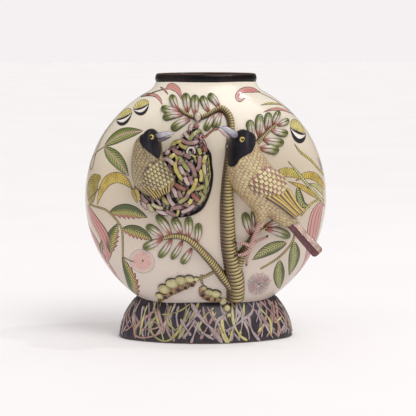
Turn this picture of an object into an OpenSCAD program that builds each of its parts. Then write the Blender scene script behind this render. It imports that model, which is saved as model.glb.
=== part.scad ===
// Glazed earthenware moon-flask vase. A modelled tree with two weaver birds, a woven
// nest and two seed pods is luted to its front. Millimetres, +Z up. The origin is the
// centre of the foot's resting plane, and the modelled front faces -Y.

/* [Vessel] */
// Radius of the round body, seen from the front
body_r = 160; // [156:1:164]
// Thickness of the body from front to back
body_t = 156; // [152:1:160]
// Radius of the rounded outer edge of each dish
edge_r = 50; // [46:1:54]
// Height of the body's centre above the table
body_z = 186; // [184:1:188]
// Wall thickness of the two dishes and the neck
wall = 7; // [6:0.5:8]

/* [Neck and rim] */
// Half the width of the neck
neck_r = 65.5; // [63:0.5:67]
// Half the depth of the neck, front to back
neck_d = 35; // [33:0.5:37]
// Height of the neck's top edge above the table
neck_top = 341; // [339:1:343]
// Radius of the rounded bead that makes the rim
rim_bead_r = 5; // [4.5:0.5:6]

/* [Foot] */
// Half the width of the foot where it stands
foot_r = 115.5; // [112:0.5:118]
// Half the depth of the foot where it stands
foot_d = 65; // [62:0.5:68]
// Height of the foot's top edge
foot_h = 56; // [54:1:58]
// Wall thickness of the foot
foot_wall = 8; // [7:0.5:9]

/* [Modelling] */
// Half the width of the trunk where it meets the foot
trunk_w = 11; // [9:0.5:13]
// How far the birds' bodies stand out from the wall
bird_h = 38; // [34:1:42]
// Thickness of a clay leaflet
leaflet_t = 4.5; // [3.5:0.5:5.5]
// Width of a rolled nest strip
strip_w = 5; // [4:0.5:6]
// Thickness of a rolled nest strip
strip_t = 2.4; // [2:0.2:3]

/* [Hidden] */
$fn = 64;

cream = [0.86, 0.82, 0.73];
black_glaze = [0.07, 0.06, 0.08];
bark = [0.62, 0.54, 0.28];
leaf_green = [0.45, 0.52, 0.22];
straw = [0.74, 0.70, 0.45];
pink_clay = [0.78, 0.58, 0.54];
yellow_clay = [0.82, 0.78, 0.40];
rose_clay = [0.70, 0.38, 0.34];
bone_grey = [0.66, 0.64, 0.66];
maroon = [0.42, 0.20, 0.24];
amber = [0.80, 0.66, 0.20];

// Each dish is a face of radius face_r that runs tangent into an edge of radius edge_r.
edge_ring = body_r - edge_r;
face_c = (edge_ring * edge_ring - pow(body_t / 2 - edge_r, 2)) / (body_t - 2 * edge_r);
face_r = body_t / 2 + face_c;
tangent = edge_ring / (face_r - edge_r);
tangent_r = face_r * tangent;
foot_arc_r = 85;
foot_arc_z = -5;
foot_arc_x = sqrt(foot_arc_r * foot_arc_r - 100);
slip = 0.15;
// How far a cutter reaches below the wall, so that two flat backs never meet in one plane
deep = 6;

// ---- places on the front of the body -------------------------------------------

function wall_depth(r) =
    r <= tangent_r ? sqrt(face_r * face_r - r * r) - face_c
    : sqrt(max(0, edge_r * edge_r - pow(r - edge_ring, 2)));
function on_wall(x, z) = [x, -wall_depth(norm([x, z - body_z])), z];
function unit(v) = v / norm(v);
function edge_centre(x, z, r) = [x * edge_ring / r, 0, body_z + (z - body_z) * edge_ring / r];
function wall_out(x, z) =
    let (r = norm([x, z - body_z]))
    unit(on_wall(x, z) - (r <= tangent_r ? [0, face_c, body_z] : edge_centre(x, z, r)));
// A point that stands lift above the wall at (x, z)
function above(x, z, lift) = on_wall(x, z) + wall_out(x, z) * lift;

// ---- smooth routes -------------------------------------------------------------

function catmull(a, b, c, d, t) =
    0.5 * (2 * b + (c - a) * t + (2 * a - 5 * b + 4 * c - d) * t * t
    + (3 * b - a - 3 * c + d) * t * t * t);
function near(list, i) = list[max(0, min(len(list) - 1, i))];
function smooth(p, steps) = [
    for (i = [0 : len(p) - 2], s = [0 : steps - 1])
        catmull(near(p, i - 1), p[i], p[i + 1], near(p, i + 2), s / steps),
    p[len(p) - 1]
];
// A straight or bowed route from a to b, with its middle pushed sideways by bow
function bowed(a, b, bow) =
    let (d = b - a, m = (a + b) / 2 + [-d[1], d[0]] * bow)
    [a, m, b];

// ---- forms laid on the wall ----------------------------------------------------

function root_of(v, e) = sign(v) * pow(abs(v), e);
// One ring of a laid form: a row is [x, z, width, height, lift]. A cutter is sunk below the wall.
function d_ring(row, ahead, behind, sides, blunt, sunk) =
    let (
        out = wall_out(row[0], row[1]),
        along = unit(above(ahead[0], ahead[1], ahead[4]) - above(behind[0], behind[1], behind[4])),
        side = unit(cross(along, out)),
        base = above(row[0], row[1], row[4]),
        arch = [for (k = [0 : sides - 1])
            let (a = 180 * k / (sides - 1))
            base + side * row[2] / 2 * root_of(cos(a), blunt) + out * row[3] * root_of(sin(a), blunt)]
    )
    sunk == 0 ? arch
    : [arch[0] - out * sunk, each arch, arch[sides - 1] - out * sunk];

module skin(rings) {
    sides = len(rings[0]);
    count = len(rings);
    polyhedron(
        points = [for (ring = rings) each ring],
        faces = [
            [for (k = [0 : sides - 1]) sides - 1 - k],
            [for (k = [0 : sides - 1]) (count - 1) * sides + k],
            for (i = [0 : count - 2], k = [0 : sides - 1])
                let (a = i * sides + k, b = i * sides + (k + 1) % sides)
                each [[a, b, a + sides], [b, b + sides, a + sides]]
        ]
    );
}

// A clay form with a flat back and an arched front that follows a route over the wall
module laid(rows, sides = 8, blunt = 1, sunk = 0) {
    last = len(rows) - 1;
    skin([for (i = [0 : last])
        d_ring(rows[i], rows[min(last, i + 1)], rows[max(0, i - 1)], sides, blunt, sunk)]);
}

// Cuts the first child by the others, on facets, as the laid forms are faceted
module cut_by() {
    resize([0, 0, 0])
        difference() {
            children(0);
            children([1 : $children - 1]);
        }
}

// ---- exact bars and rods in space ----------------------------------------------

module along(a, b) {
    d = b - a;
    translate(a)
        rotate([0, acos(d[2] / norm(d)), atan2(d[1], d[0])])
            children();
}

module rod(a, b, r1, r2) {
    along(a, b) cylinder(h = norm(b - a), r1 = r1, r2 = r2, $fn = 24);
}

// ---- vessel --------------------------------------------------------------------

// Half of a dish's outline in the plane of its radius and depth, moved in by inset
module dish_outline(inset) {
    meet = (face_r - inset) * tangent;
    intersection() {
        translate([0, -face_c]) circle(r = face_r - inset, $fn = 200);
        square([meet, body_t]);
    }
    intersection() {
        translate([edge_ring, 0]) circle(r = edge_r - inset, $fn = 200);
        translate([meet, 0]) square([body_r, body_t]);
    }
}

// The body as a full lens, for cutting what meets it
module envelope() {
    translate([0, 0, body_z])
        rotate([90, 0, 0])
            rotate_extrude($fn = 120) {
                dish_outline(0);
                mirror([0, 1]) dish_outline(0);
            }
}

// An oval of half sizes a and b is made of four arcs. Its end and side arcs meet on lines
// that rise 4 for every 3 across, so every radius comes out as a short exact number.
function oval_side(a, b) = (a - b) * 2.5 + oval_end(a, b);
function oval_end(a, b) = a - (a - b) * 1.5;

module end_wedge(c) {
    linear_extrude(400) polygon([[c, 0], [c + 240, 320], [c + 240, -320]]);
}

module side_wedge(c) {
    linear_extrude(400) polygon([[c, 0], [c + 240, 320], [-c - 240, 320], [-c, 0]]);
}

// Sweeps an outline round the oval. The outline's x is measured outward from the oval.
module half_oval(a, b) {
    c = a - oval_end(a, b);
    intersection() {
        translate([c, 0, 0]) rotate_extrude() translate([oval_end(a, b), 0]) children();
        end_wedge(c);
    }
    intersection() {
        translate([0, b - oval_side(a, b), 0])
            rotate_extrude($fn = 200) translate([oval_side(a, b), 0]) children();
        side_wedge(c);
    }
}

module whole_oval(a, b) {
    half_oval(a, b) children();
    rotate([0, 0, 180]) half_oval(a, b) children();
}

module half_oval_block(a, b, h) {
    c = a - oval_end(a, b);
    translate([c, 0, 0]) cylinder(h = h, r = oval_end(a, b), $fn = 128);
    intersection() {
        translate([0, b - oval_side(a, b), 0]) cylinder(h = h, r = oval_side(a, b), $fn = 200);
        side_wedge(c);
    }
}

// The opening through the body that the neck surrounds
module mouth_plug() {
    translate([0, 0, body_z + edge_ring]) {
        half_oval_block(neck_r - wall, neck_d - wall, body_r - edge_ring);
        rotate([0, 0, 180]) half_oval_block(neck_r - wall, neck_d - wall, body_r - edge_ring);
    }
}

module dish() {
    difference() {
        translate([0, 0, body_z])
            rotate([90, 0, 0])
                rotate_extrude($fn = 180)
                    difference() {
                        dish_outline(0);
                        dish_outline(wall);
                    }
        mouth_plug();
    }
}

module front_dish() {
    color(cream) dish();
}

module back_dish() {
    color(cream) mirror([0, 1, 0]) dish();
}

module neck_collar() {
    low = body_z + edge_ring + 20;
    color(cream)
        difference() {
            whole_oval(neck_r, neck_d)
                translate([-wall, low])
                    square([wall, neck_top - low]);
            envelope();
        }
}

module rim_band() {
    color(black_glaze)
        whole_oval(neck_r, neck_d)
            intersection() {
                union() {
                    translate([1.5 - rim_bead_r, neck_top + rim_bead_r - 1]) circle(r = rim_bead_r);
                    translate([-wall, neck_top]) square([wall, rim_bead_r]);
                }
                translate([-wall * 2, neck_top]) square([wall * 3, rim_bead_r * 3]);
            }
}

module foot_skirt() {
    color(black_glaze)
        difference() {
            whole_oval(foot_r, foot_d)
                intersection() {
                    difference() {
                        translate([-foot_arc_x, foot_arc_z]) circle(r = foot_arc_r, $fn = 120);
                        translate([-foot_arc_x, foot_arc_z]) circle(r = foot_arc_r - foot_wall, $fn = 120);
                    }
                    translate([-foot_wall - 30, 0]) square([foot_wall + 32, foot_h]);
                }
            envelope();
        }
}

// ---- tree ----------------------------------------------------------------------

// The trunk climbs from the foot, passes behind the right bird's head and arches over
trunk_route = [
    [36, 60, 2 * trunk_w, 10, 0], [35, 83, 23, 11, 0], [29, 108, 21, 11, 0], [24, 136, 19, 10, 0],
    [23, 180, 18, 10, 0], [23, 209, 15, 9, 0], [25, 233, 13, 8, 0], [27, 255, 11, 8, 0],
    [29, 279, 10, 8, 0], [28, 293, 10, 8, 0], [23, 302, 9, 7, 0], [16, 306, 8, 7, 0],
    [8, 303, 7, 6, 0], [1, 299, 6, 6, 0], [-6, 296, 6, 5, 0], [-13, 294, 5.5, 5, 0],
    [-22, 296, 5, 5, 0], [-31, 301, 5, 4, 0], [-37, 306, 4, 3, 0]
];
left_branch_route = [
    [33, 70, 12, 9, 0], [20, 86, 12, 8, 0], [4, 108, 11, 8, 0], [-19, 133, 9, 7, 0],
    [-33, 142, 8, 6, 0], [-47, 143, 7, 5, 0], [-58, 140, 5, 4, 0]
];
right_branch_route = [
    [38, 96, 13, 9, 0], [42, 116, 11, 9, 0], [48, 128, 9, 8, 0], [55, 139, 7, 6, 0],
    [63, 149, 6, 5, 0], [74, 154, 4, 4, 0]
];
upper_branch_route = [
    [58, 257, 7, 5, 0], [65, 265, 7, 5, 0], [72, 272, 6, 5, 0], [81, 280, 5, 5, 0], [89, 285, 4, 3, 0]
];

module trunk_form(sunk = 0) {
    laid(smooth(trunk_route, 3), sides = 9, sunk = sunk);
}

module trunk() {
    color(bark) trunk_form();
}

module left_branch_form(sunk = 0) {
    laid(smooth(left_branch_route, 3), sides = 9, sunk = sunk);
}

module left_branch() {
    color(bark)
        cut_by() {
            left_branch_form();
            trunk_form(deep);
        }
}

module right_branch_form(sunk = 0) {
    laid(smooth(right_branch_route, 3), sides = 9, sunk = sunk);
}

module right_branch() {
    color(bark)
        cut_by() {
            right_branch_form();
            trunk_form(deep);
        }
}

module upper_branch_form(sunk = 0) {
    laid(smooth(upper_branch_route, 3), sides = 9, sunk = sunk);
}

module upper_branch() {
    color(bark) upper_branch_form();
}

// Where the nest hangs from the arch
module nest_knot() {
    color(pink_clay)
        cut_by() {
            laid([[-14, 300, 4, 3, 4], [-14, 297, 9, 5, 4], [-14, 292, 10, 5, 4], [-15, 288, 6, 3, 4]]);
            trunk_form(deep);
        }
}

// ---- leaflets ------------------------------------------------------------------

// Each row is [root x, root z, tip x, tip z, width]
arch_leaflets = [
    [13, 310, 1, 324, 9], [0, 305, -7, 322, 9], [-16, 301, -16, 323, 10], [-27, 305, -29, 325, 10],
    [5, 296, -4, 279, 9], [15, 298, 8, 280, 9]
];
twig_leaflets = [
    [-40, 308, -46, 323, 9], [-41, 304, -60, 307, 9], [-36, 298, -58, 294, 9], [-27, 291, -47, 280, 10]
];
upper_leaflets = [
    [56, 271, 53, 291, 10], [66, 273, 67, 298, 10], [76, 281, 79, 300, 9], [86, 287, 93, 301, 8],
    [94, 285, 106, 289, 8], [85, 278, 104, 273, 9], [75, 266, 98, 262, 10], [69, 255, 91, 251, 11]
];
left_leaflets = [
    [-62, 143, -80, 156, 10], [-51, 147, -67, 170, 10], [-37, 149, -46, 167, 10],
    [-27, 145, -27, 168, 10], [-16, 137, -14, 160, 9], [-63, 137, -84, 126, 10],
    [-50, 137, -64, 115, 9], [-36, 134, -48, 113, 8], [-24, 124, -35, 107, 9]
];
right_leaflets = [
    [53, 148, 46, 173, 10], [60, 157, 57, 176, 6], [77, 156, 101, 161, 9], [77, 150, 106, 139, 11]
];

// A row of the laid form at share t along a leaflet
function leaflet_row(leaf, t, share) =
    [leaf[0] + (leaf[2] - leaf[0]) * t, leaf[1] + (leaf[3] - leaf[1]) * t,
     leaf[4] * share, leaflet_t * (0.35 + 0.65 * share), slip];

module leaflet(leaf, sunk = 0) {
    laid([for (p = [[0, 0.3], [0.2, 0.6], [0.45, 0.9], [0.7, 1], [0.9, 0.75], [1, 0.3]])
        leaflet_row(leaf, p[0], p[1])], sides = 7, sunk = sunk);
}

module leaflets(rows) {
    color(leaf_green)
        for (leaf = rows)
            leaflet(leaf);
}

module leaflets_arch() {
    leaflets(arch_leaflets);
}

module leaflets_twig() {
    leaflets(twig_leaflets);
}

module leaflets_upper() {
    leaflets(upper_leaflets);
}

module leaflets_left() {
    leaflets(left_leaflets);
}

module leaflets_right() {
    leaflets(right_leaflets);
}

// ---- nest ----------------------------------------------------------------------

// The cup's sections from the bottom up: [height, middle, width, thickness]
nest_sections = [
    [173, -44, 34, 4], [179, -47, 70, 9], [190, -49, 88, 12], [205, -49, 98, 14], [222, -47, 99, 14],
    [237, -41, 84, 13], [249, -30, 60, 11], [259, -26, 40, 9], [269, -22, 26, 7], [280, -18, 13, 5]
];
function nest_mid(z) = lookup(z, [for (s = nest_sections) [s[0], s[1]]]);
function nest_wide(z) = lookup(z, [for (s = nest_sections) [s[0], s[2]]]);
function nest_thick(z) = lookup(z, [for (s = nest_sections) [s[0], s[3]]]);
// How high the cup's surface stands above the wall at (x, z)
function nest_lift(x, z) =
    nest_thick(z) * sqrt(max(0, 1 - pow(2 * (x - nest_mid(z)) / nest_wide(z), 2)));

module nest_cup_form(sunk = 0) {
    laid([for (s = nest_sections) [s[1], s[0], s[2], s[3], 0]], sides = 13, sunk = sunk);
}

module nest_cup() {
    color(black_glaze) nest_cup_form();
}

// A point just outside the cup's right edge at section i, square to the cup's own run
function cup_edge(i) =
    let (
        s = nest_sections[i],
        run = near(nest_sections, i + 1) - near(nest_sections, i - 1),
        reach = (s[2] / 2 + 1.2) / norm([run[0], run[1]])
    )
    [s[1] + run[0] * reach, s[0] - run[1] * reach];

// The dark rolled edge round the right side of the cup
module nest_edge() {
    color(black_glaze)
        cut_by() {
            laid(smooth([for (i = [1 : 8]) [each cup_edge(i), 3.6, 3.4, slip]], 2), sides = 7);
            nest_cup_form(deep);
        }
}

// A strip from a to b that hugs the cup, in the layer that counts up from it
module strip(a, b, bow, layer) {
    route = smooth(bowed(a, b, bow), 3);
    laid([for (p = route)
        [p[0], p[1], strip_w, strip_t, nest_lift(p[0], p[1]) + slip + layer * (strip_t + slip)]],
        sides = 4, blunt = 0.3);
}

module strips_under() {
    color(pink_clay)
        cut_by() {
            for (i = [0 : 6])
                strip([-78 + 10 * i, 181 + 1.5 * i], [-70 + 9.5 * i, 196 + 2 * i], 0.15, 0);
            left_body_form(deep);
        }
}

module strips_middle() {
    color(yellow_clay)
        for (i = [0 : 5])
            strip([-33 + 1.5 * i, 192 + 11 * i], [-13 - 1.2 * i, 190 + 12 * i], -0.16, 1);
}

module strips_over() {
    color(rose_clay)
        for (i = [0 : 2])
            strip([-30 + i, 202 + 18 * i], [-20 - i, 217 + 18 * i], 0.2, 2);
}

// The twisted strips where the nest narrows to its knot
module neck_strips() {
    color(leaf_green)
        for (i = [0 : 1])
            strip([-29 + 4 * i, 262 + 9 * i], [-18 + i, 268 + 9 * i], 0.12, 2);
}

// The strand that the right bird weaves, from the nest to its beak
module beak_strand() {
    stops = [above(-4, 268, 11), above(-1, 270, 24), above(6.5, 275, 32)];
    color(pink_clay)
        cut_by() {
            for (i = [0, 1])
                hull() {
                    translate(stops[i]) sphere(r = 1.7, $fn = 14);
                    translate(stops[i + 1]) sphere(r = 1.5, $fn = 14);
                }
            nest_cup_form();
            beak_half(above(28, 267, 31), above(8, 276, 35), 4.6);
        }
}

// ---- birds ---------------------------------------------------------------------

left_body_rows = [
    [-76, 256, 26, 26, 0], [-77, 248, 34, 31, 0], [-76, 238, 40, 33, 0], [-71, 228, 48, 34, 0],
    [-69, 217, 53, 34, 0], [-70, 206, 46, 30, 0], [-69, 198, 32, 24, 0], [-66, 193, 14, 16, 0]
];
left_head_rows = [
    [-70, 275, 10, 16, 8], [-71, 270, 24, 28, 2], [-71, 262, 28, 35, 0], [-68, 252, 24, 35, 0],
    [-63, 245, 14, 33, 0], [-60, 240, 5, 28, 0]
];
left_wing_rows = [
    [-62, 239, 16, 10, 24], [-61, 233, 30, 15, 22], [-60, 224, 36, 17, 21], [-60, 214, 36, 17, 20],
    [-62, 207, 30, 14, 19]
];
right_body_rows = [
    [39, 250, 32, 30, 0], [43, 237, 46, 35, 0], [49, 224, 56, bird_h, 0], [58, 211, 57, bird_h, 0],
    [67, 199, 50, 36, 0], [76, 187, 38, 31, 0], [85, 175, 27, 26, 2], [92, 167, 20, 20, 6]
];
right_head_rows = [
    [38, 273, 12, 18, 10], [37, 268, 30, 30, 4], [37, 259, 38, 40, 0], [35, 248, 32, 40, 0],
    [30, 239, 18, 38, 0], [25, 232, 6, 34, 0]
];
right_wing_rows = [
    [49, 228, 16, 10, 28], [54, 222, 32, 16, 26], [60, 214, 40, 19, 24], [67, 206, 42, 19, 23],
    [72, 200, 38, 17, 22]
];

module left_head_form(sunk = 0) {
    laid(smooth(left_head_rows, 2), sides = 13, sunk = sunk);
}

module left_body_form(sunk = 0) {
    laid(smooth(left_body_rows, 2), sides = 15, sunk = sunk);
}

module left_wing_form() {
    laid(smooth(left_wing_rows, 2), sides = 11, blunt = 0.8);
}

module right_head_form(sunk = 0) {
    laid(smooth(right_head_rows, 2), sides = 13, sunk = sunk);
}

module right_body_form(sunk = 0) {
    laid(smooth(right_body_rows, 2), sides = 15, sunk = sunk);
}

module right_wing_form() {
    laid(smooth(right_wing_rows, 2), sides = 11, blunt = 0.8);
}

module left_bird_head() {
    color(black_glaze) left_head_form(0);
}

module left_bird_body() {
    color(straw)
        cut_by() {
            left_body_form();
            nest_cup_form(deep);
            left_head_form(deep);
        }
}

module right_bird_head() {
    color(black_glaze)
        cut_by() {
            right_head_form();
            trunk_form(deep);
            upper_branch_form(deep);
            leaflet(upper_leaflets[0], deep);
        }
}

module right_bird_body() {
    color(straw)
        cut_by() {
            right_body_form();
            trunk_form(deep);
            right_head_form(deep);
            leaflet(right_leaflets[0], deep);
            leaflet(right_leaflets[1], deep);
            leaflet(right_leaflets[2], deep);
        }
}

// One half of a beak, a tapered rod whose root is bedded in the head
module beak_half(root, tip, r) {
    along(root, tip) cylinder(h = norm(tip - root), r1 = r, r2 = 0.6, $fn = 16);
}

module left_bird_upper_beak() {
    color(bone_grey)
        cut_by() {
            beak_half(above(-60, 267, 27), above(-42, 270.5, 24), 4.4);
            left_head_form();
        }
}

module left_bird_lower_beak() {
    color(bone_grey)
        cut_by() {
            beak_half(above(-60, 261, 26), above(-44, 266.5, 23), 2.8);
            left_head_form();
            beak_half(above(-60, 267, 27), above(-42, 270.5, 24), 4.4);
        }
}

module right_bird_upper_beak() {
    color(bone_grey)
        cut_by() {
            beak_half(above(28, 267, 31), above(8, 276, 35), 4.6);
            right_head_form();
        }
}

module right_bird_lower_beak() {
    color(bone_grey)
        cut_by() {
            beak_half(above(28, 261, 31), above(10, 271, 35), 3);
            right_head_form();
            beak_half(above(28, 267, 31), above(8, 276, 35), 4.6);
        }
}

module eyeball(x, z, lift) {
    translate(above(x, z, lift)) sphere(r = 3.6, $fn = 20);
}

module left_bird_eye() {
    color(amber)
        cut_by() {
            eyeball(-69, 265, 33.5);
            left_head_form();
        }
}

module right_bird_eye() {
    color(amber)
        cut_by() {
            eyeball(38, 262, 39.5);
            right_head_form();
        }
}

module left_bird_wing() {
    color(straw)
        cut_by() {
            left_wing_form();
            left_body_form();
            left_head_form();
        }
}

module right_bird_wing() {
    color(straw)
        cut_by() {
            right_wing_form();
            right_body_form();
            right_head_form();
        }
}

// A fan of flight feathers, each a flat bar from the wing to its own tip
module quills(roots, tips, count, lift_root, lift_tip) {
    for (i = [0 : count - 1]) {
        t = i / (count - 1);
        a = roots[0] + (roots[1] - roots[0]) * t;
        b = tips[0] + (tips[1] - tips[0]) * t;
        laid([[a[0], a[1], 5, 5, lift_root], [b[0], b[1], 3.4, 3.5, lift_tip]], sides = 5, blunt = 0.6);
    }
}

module left_bird_quills() {
    color(straw)
        cut_by() {
            quills([[-76, 208], [-50, 211]], [[-64, 194], [-49, 199]], 5, 27, 24);
            left_body_form();
            left_wing_form();
        }
}

module right_bird_quills() {
    color(yellow_clay)
        cut_by() {
            quills([[64, 190], [88, 204]], [[98, 170], [109, 180]], 4, 32, 32);
            right_body_form();
            right_wing_form();
        }
}

// A stiff slab with one long corner towards the front
module right_bird_tail() {
    root = above(90, 170, 16);
    tip = [141, -100, 120];
    color(maroon)
        cut_by() {
            along(root, tip)
                rotate([0, 0, 45])
                    translate([-5, -6.5, 0])
                        cube([10, 13, norm(tip - root)]);
            right_body_form(deep);
        }
}

module leg_form() {
    rod(above(66, 172, 14), above(56, 146, 13), 4.4, 2.6);
    rod(above(56, 146, 13), above(49, 126, 13), 2.6, 2.6);
}

module toes_form() {
    rod(above(51, 132, 13), above(34, 137, 12), 2.4, 1.8);
    rod(above(52, 134, 13), above(72, 142, 8), 2.4, 1.8);
    rod(above(49.5, 127, 13), above(35, 122, 13), 2.4, 1.8);
    rod(above(49.5, 127, 13), above(47, 110, 11), 2.4, 1.8);
}

module right_bird_leg() {
    color(pink_clay)
        cut_by() {
            leg_form();
            right_body_form();
        }
}

module right_bird_toes() {
    color(pink_clay)
        cut_by() {
            toes_form();
            leg_form();
        }
}

module right_bird_claws() {
    color(black_glaze)
        cut_by() {
            union() {
                rod(above(34.5, 136.8, 12), above(30, 138.5, 9.5), 1.6, 0.5);
                rod(above(71.5, 141.8, 8), above(75.5, 143.5, 5), 1.6, 0.5);
                rod(above(35.5, 122.2, 13), above(31, 121, 11), 1.6, 0.5);
                rod(above(47, 110.5, 11), above(47, 106, 9.5), 1.6, 0.5);
            }
            toes_form();
        }
}

// ---- seed pods -----------------------------------------------------------------

// Each row is [x, z, radius]
upper_beads = [[-17, 85, 3], [-24, 86.5, 5], [-35, 84, 6], [-47, 80, 6.5], [-57, 72, 6.5], [-62, 62, 4.5]];
lower_beads = [[-4.5, 74, 3.2], [2, 69.5, 5], [12, 66.5, 5.4]];
foot_beads = [[21.5, 53, 5], [26.5, 43, 4], [27.5, 33, 2.4]];
upper_seeds = [[-22, 80], [-30, 76.5], [-39, 73], [-48, 69], [-55, 64]];
lower_seeds = [[-4, 66.5], [3, 61.5], [10, 59.5]];

// How far the foot's outside stands out from its base oval at height z
function foot_flare(z) = sqrt(foot_arc_r * foot_arc_r - pow(z - foot_arc_z, 2)) - foot_arc_x;
function foot_front(x, z) =
    oval_side(foot_r, foot_d) - foot_d
    - sqrt(pow(oval_side(foot_r, foot_d) + foot_flare(z), 2) - x * x);

module beads(rows) {
    for (b = rows)
        translate(on_wall(b[0], b[1])) sphere(r = b[2], $fn = 20);
}

module beads_on_wall(rows) {
    difference() {
        beads(rows);
        envelope();
    }
}

// These stand on the foot, just clear of it
module beads_on_foot(rows) {
    for (b = rows)
        translate([b[0], foot_front(b[0], b[1]) - b[2] - 0.8, b[1]])
            sphere(r = b[2], $fn = 20);
}

module husk(rows, bead_rows) {
    cut_by() {
        laid(smooth(rows, 2), sides = 7);
        beads(bead_rows);
    }
}

upper_husk_rows = [
    [-17, 81.5, 3, 2, slip], [-27, 79, 8, 3, slip], [-39, 74.5, 10, 3.5, slip],
    [-50, 69.5, 10, 3.5, slip], [-58, 62, 7, 3, slip], [-62, 52, 2, 1.5, slip]
];
lower_husk_rows = [
    [-8, 73, 4, 2, slip], [-4, 66.5, 9, 3, slip], [3, 62, 9, 3.5, slip], [12, 60, 7, 3.5, slip],
    [18, 59.6, 3, 2, slip]
];

module upper_pod_beads() {
    color(leaf_green) beads_on_wall(upper_beads);
}

module lower_pod_beads() {
    color(leaf_green) {
        beads_on_wall(lower_beads);
        beads_on_foot(foot_beads);
    }
}

module upper_pod_husk() {
    color(rose_clay) husk(upper_husk_rows, upper_beads);
}

module lower_pod_husk() {
    color(rose_clay) husk(lower_husk_rows, lower_beads);
}

module seeds(rows) {
    color(black_glaze)
        for (s = rows)
            translate(above(s[0], s[1], 5.2)) sphere(r = 1.6, $fn = 16);
}

module upper_pod_seeds() {
    seeds(upper_seeds);
}

module lower_pod_seeds() {
    seeds(lower_seeds);
}

// The stalk leaves the left branch and forks to both pods
module pod_stalk() {
    color(bark)
        cut_by() {
            laid(smooth([[9, 96, 4, 3, slip], [-4, 88, 3.5, 3, slip], [-14, 86, 3, 2.5, slip]], 2), sides = 6);
            left_branch_form(deep);
            beads(upper_beads);
        }
}

// The thinner stalk that drops to the lower pod
module lower_stalk() {
    color(bark)
        cut_by() {
            laid(smooth([[-9, 90, 3, 2.5, slip], [-9, 82, 3, 2.5, slip], [-7, 76, 3, 2, slip]], 2), sides = 6);
            laid(smooth([[9, 96, 4, 3, slip], [-4, 88, 3.5, 3, slip], [-14, 86, 3, 2.5, slip]], 2),
                sides = 6, sunk = deep);
            beads(lower_beads);
            beads(upper_beads);
        }
}

// ---- one node at a time, or all of them ----------------------------------------

front_dish();
back_dish();
neck_collar();
rim_band();
foot_skirt();
trunk();
left_branch();
right_branch();
upper_branch();
nest_knot();
leaflets_arch();
leaflets_twig();
leaflets_upper();
leaflets_left();
leaflets_right();
nest_cup();
nest_edge();
strips_under();
strips_middle();
strips_over();
neck_strips();
beak_strand();
left_bird_body();
left_bird_head();
left_bird_upper_beak();
left_bird_lower_beak();
left_bird_eye();
left_bird_wing();
left_bird_quills();
right_bird_body();
right_bird_head();
right_bird_upper_beak();
right_bird_lower_beak();
right_bird_eye();
right_bird_wing();
right_bird_quills();
right_bird_tail();
right_bird_leg();
right_bird_toes();
right_bird_claws();
upper_pod_beads();
upper_pod_husk();
upper_pod_seeds();
lower_pod_beads();
lower_pod_husk();
lower_pod_seeds();
pod_stalk();
lower_stalk();
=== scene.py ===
"""Moon-flask vase with a modelled tree, two weaver birds, a woven nest and seed pods.

Lengths are millimetres until a mesh is made. The vase stands on z = 0 and its modelled
front faces -Y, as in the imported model."""
import math
import random
from collections import namedtuple

import bmesh
import bpy
import numpy as np
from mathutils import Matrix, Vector
from mathutils.bvhtree import BVHTree


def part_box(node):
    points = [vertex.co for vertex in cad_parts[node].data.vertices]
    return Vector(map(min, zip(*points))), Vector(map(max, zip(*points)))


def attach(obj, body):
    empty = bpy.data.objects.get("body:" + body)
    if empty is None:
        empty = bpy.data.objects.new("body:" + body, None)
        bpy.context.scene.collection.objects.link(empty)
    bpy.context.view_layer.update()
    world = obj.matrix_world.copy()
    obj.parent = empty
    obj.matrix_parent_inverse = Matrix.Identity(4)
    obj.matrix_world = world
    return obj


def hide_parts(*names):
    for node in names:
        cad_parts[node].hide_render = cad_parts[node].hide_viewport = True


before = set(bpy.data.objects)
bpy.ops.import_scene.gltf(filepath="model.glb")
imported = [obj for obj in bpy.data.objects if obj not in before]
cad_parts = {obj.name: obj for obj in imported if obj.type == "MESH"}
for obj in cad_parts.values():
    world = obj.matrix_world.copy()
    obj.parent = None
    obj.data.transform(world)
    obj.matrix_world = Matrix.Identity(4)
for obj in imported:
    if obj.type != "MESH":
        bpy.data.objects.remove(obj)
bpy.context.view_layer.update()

MM = 0.001


def box_mm(node):
    return [[value / MM for value in corner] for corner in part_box(node)]


# ---- vessel sizes, from the frame ---------------------------------------------------

dish_low, dish_high = box_mm("front_dish")
_, rim_high = box_mm("rim_band")
_, foot_high = box_mm("foot_skirt")

body_r = dish_high[0]
body_z = dish_low[2] + body_r
half_depth = -dish_low[1]
edge_r = 50.0
wall = 7.0
rim_proud = 1.5
rim_band_h = 12.0
neck_a = rim_high[0] - rim_proud
neck_b = rim_high[1] - rim_proud
top_z = rim_high[2]
neck_top = top_z - 8.0
neck_blend = 11.0
foot_wall = 8.0
foot_top = 56.0
flare_r = 85.0
flare_z = -5.0
flare_x = math.sqrt(flare_r ** 2 - 100)
PAINT = 0.16

# The face arc runs tangent into the edge arc
edge_ring = body_r - edge_r
face_c = (edge_ring ** 2 - (half_depth - edge_r) ** 2) / (2 * (half_depth - edge_r))
face_r = half_depth + face_c
tangent_r = face_r * edge_ring / (face_r - edge_r)
tangent_angle = math.asin(tangent_r / face_r)


def foot_flare(z):
    return np.sqrt(flare_r ** 2 - (np.asarray(z, float) - flare_z) ** 2) - flare_x


foot_a = foot_high[0] - float(foot_flare(0))
foot_b = foot_high[1] - float(foot_flare(0))


# ---- places on the body -------------------------------------------------------------

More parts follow.
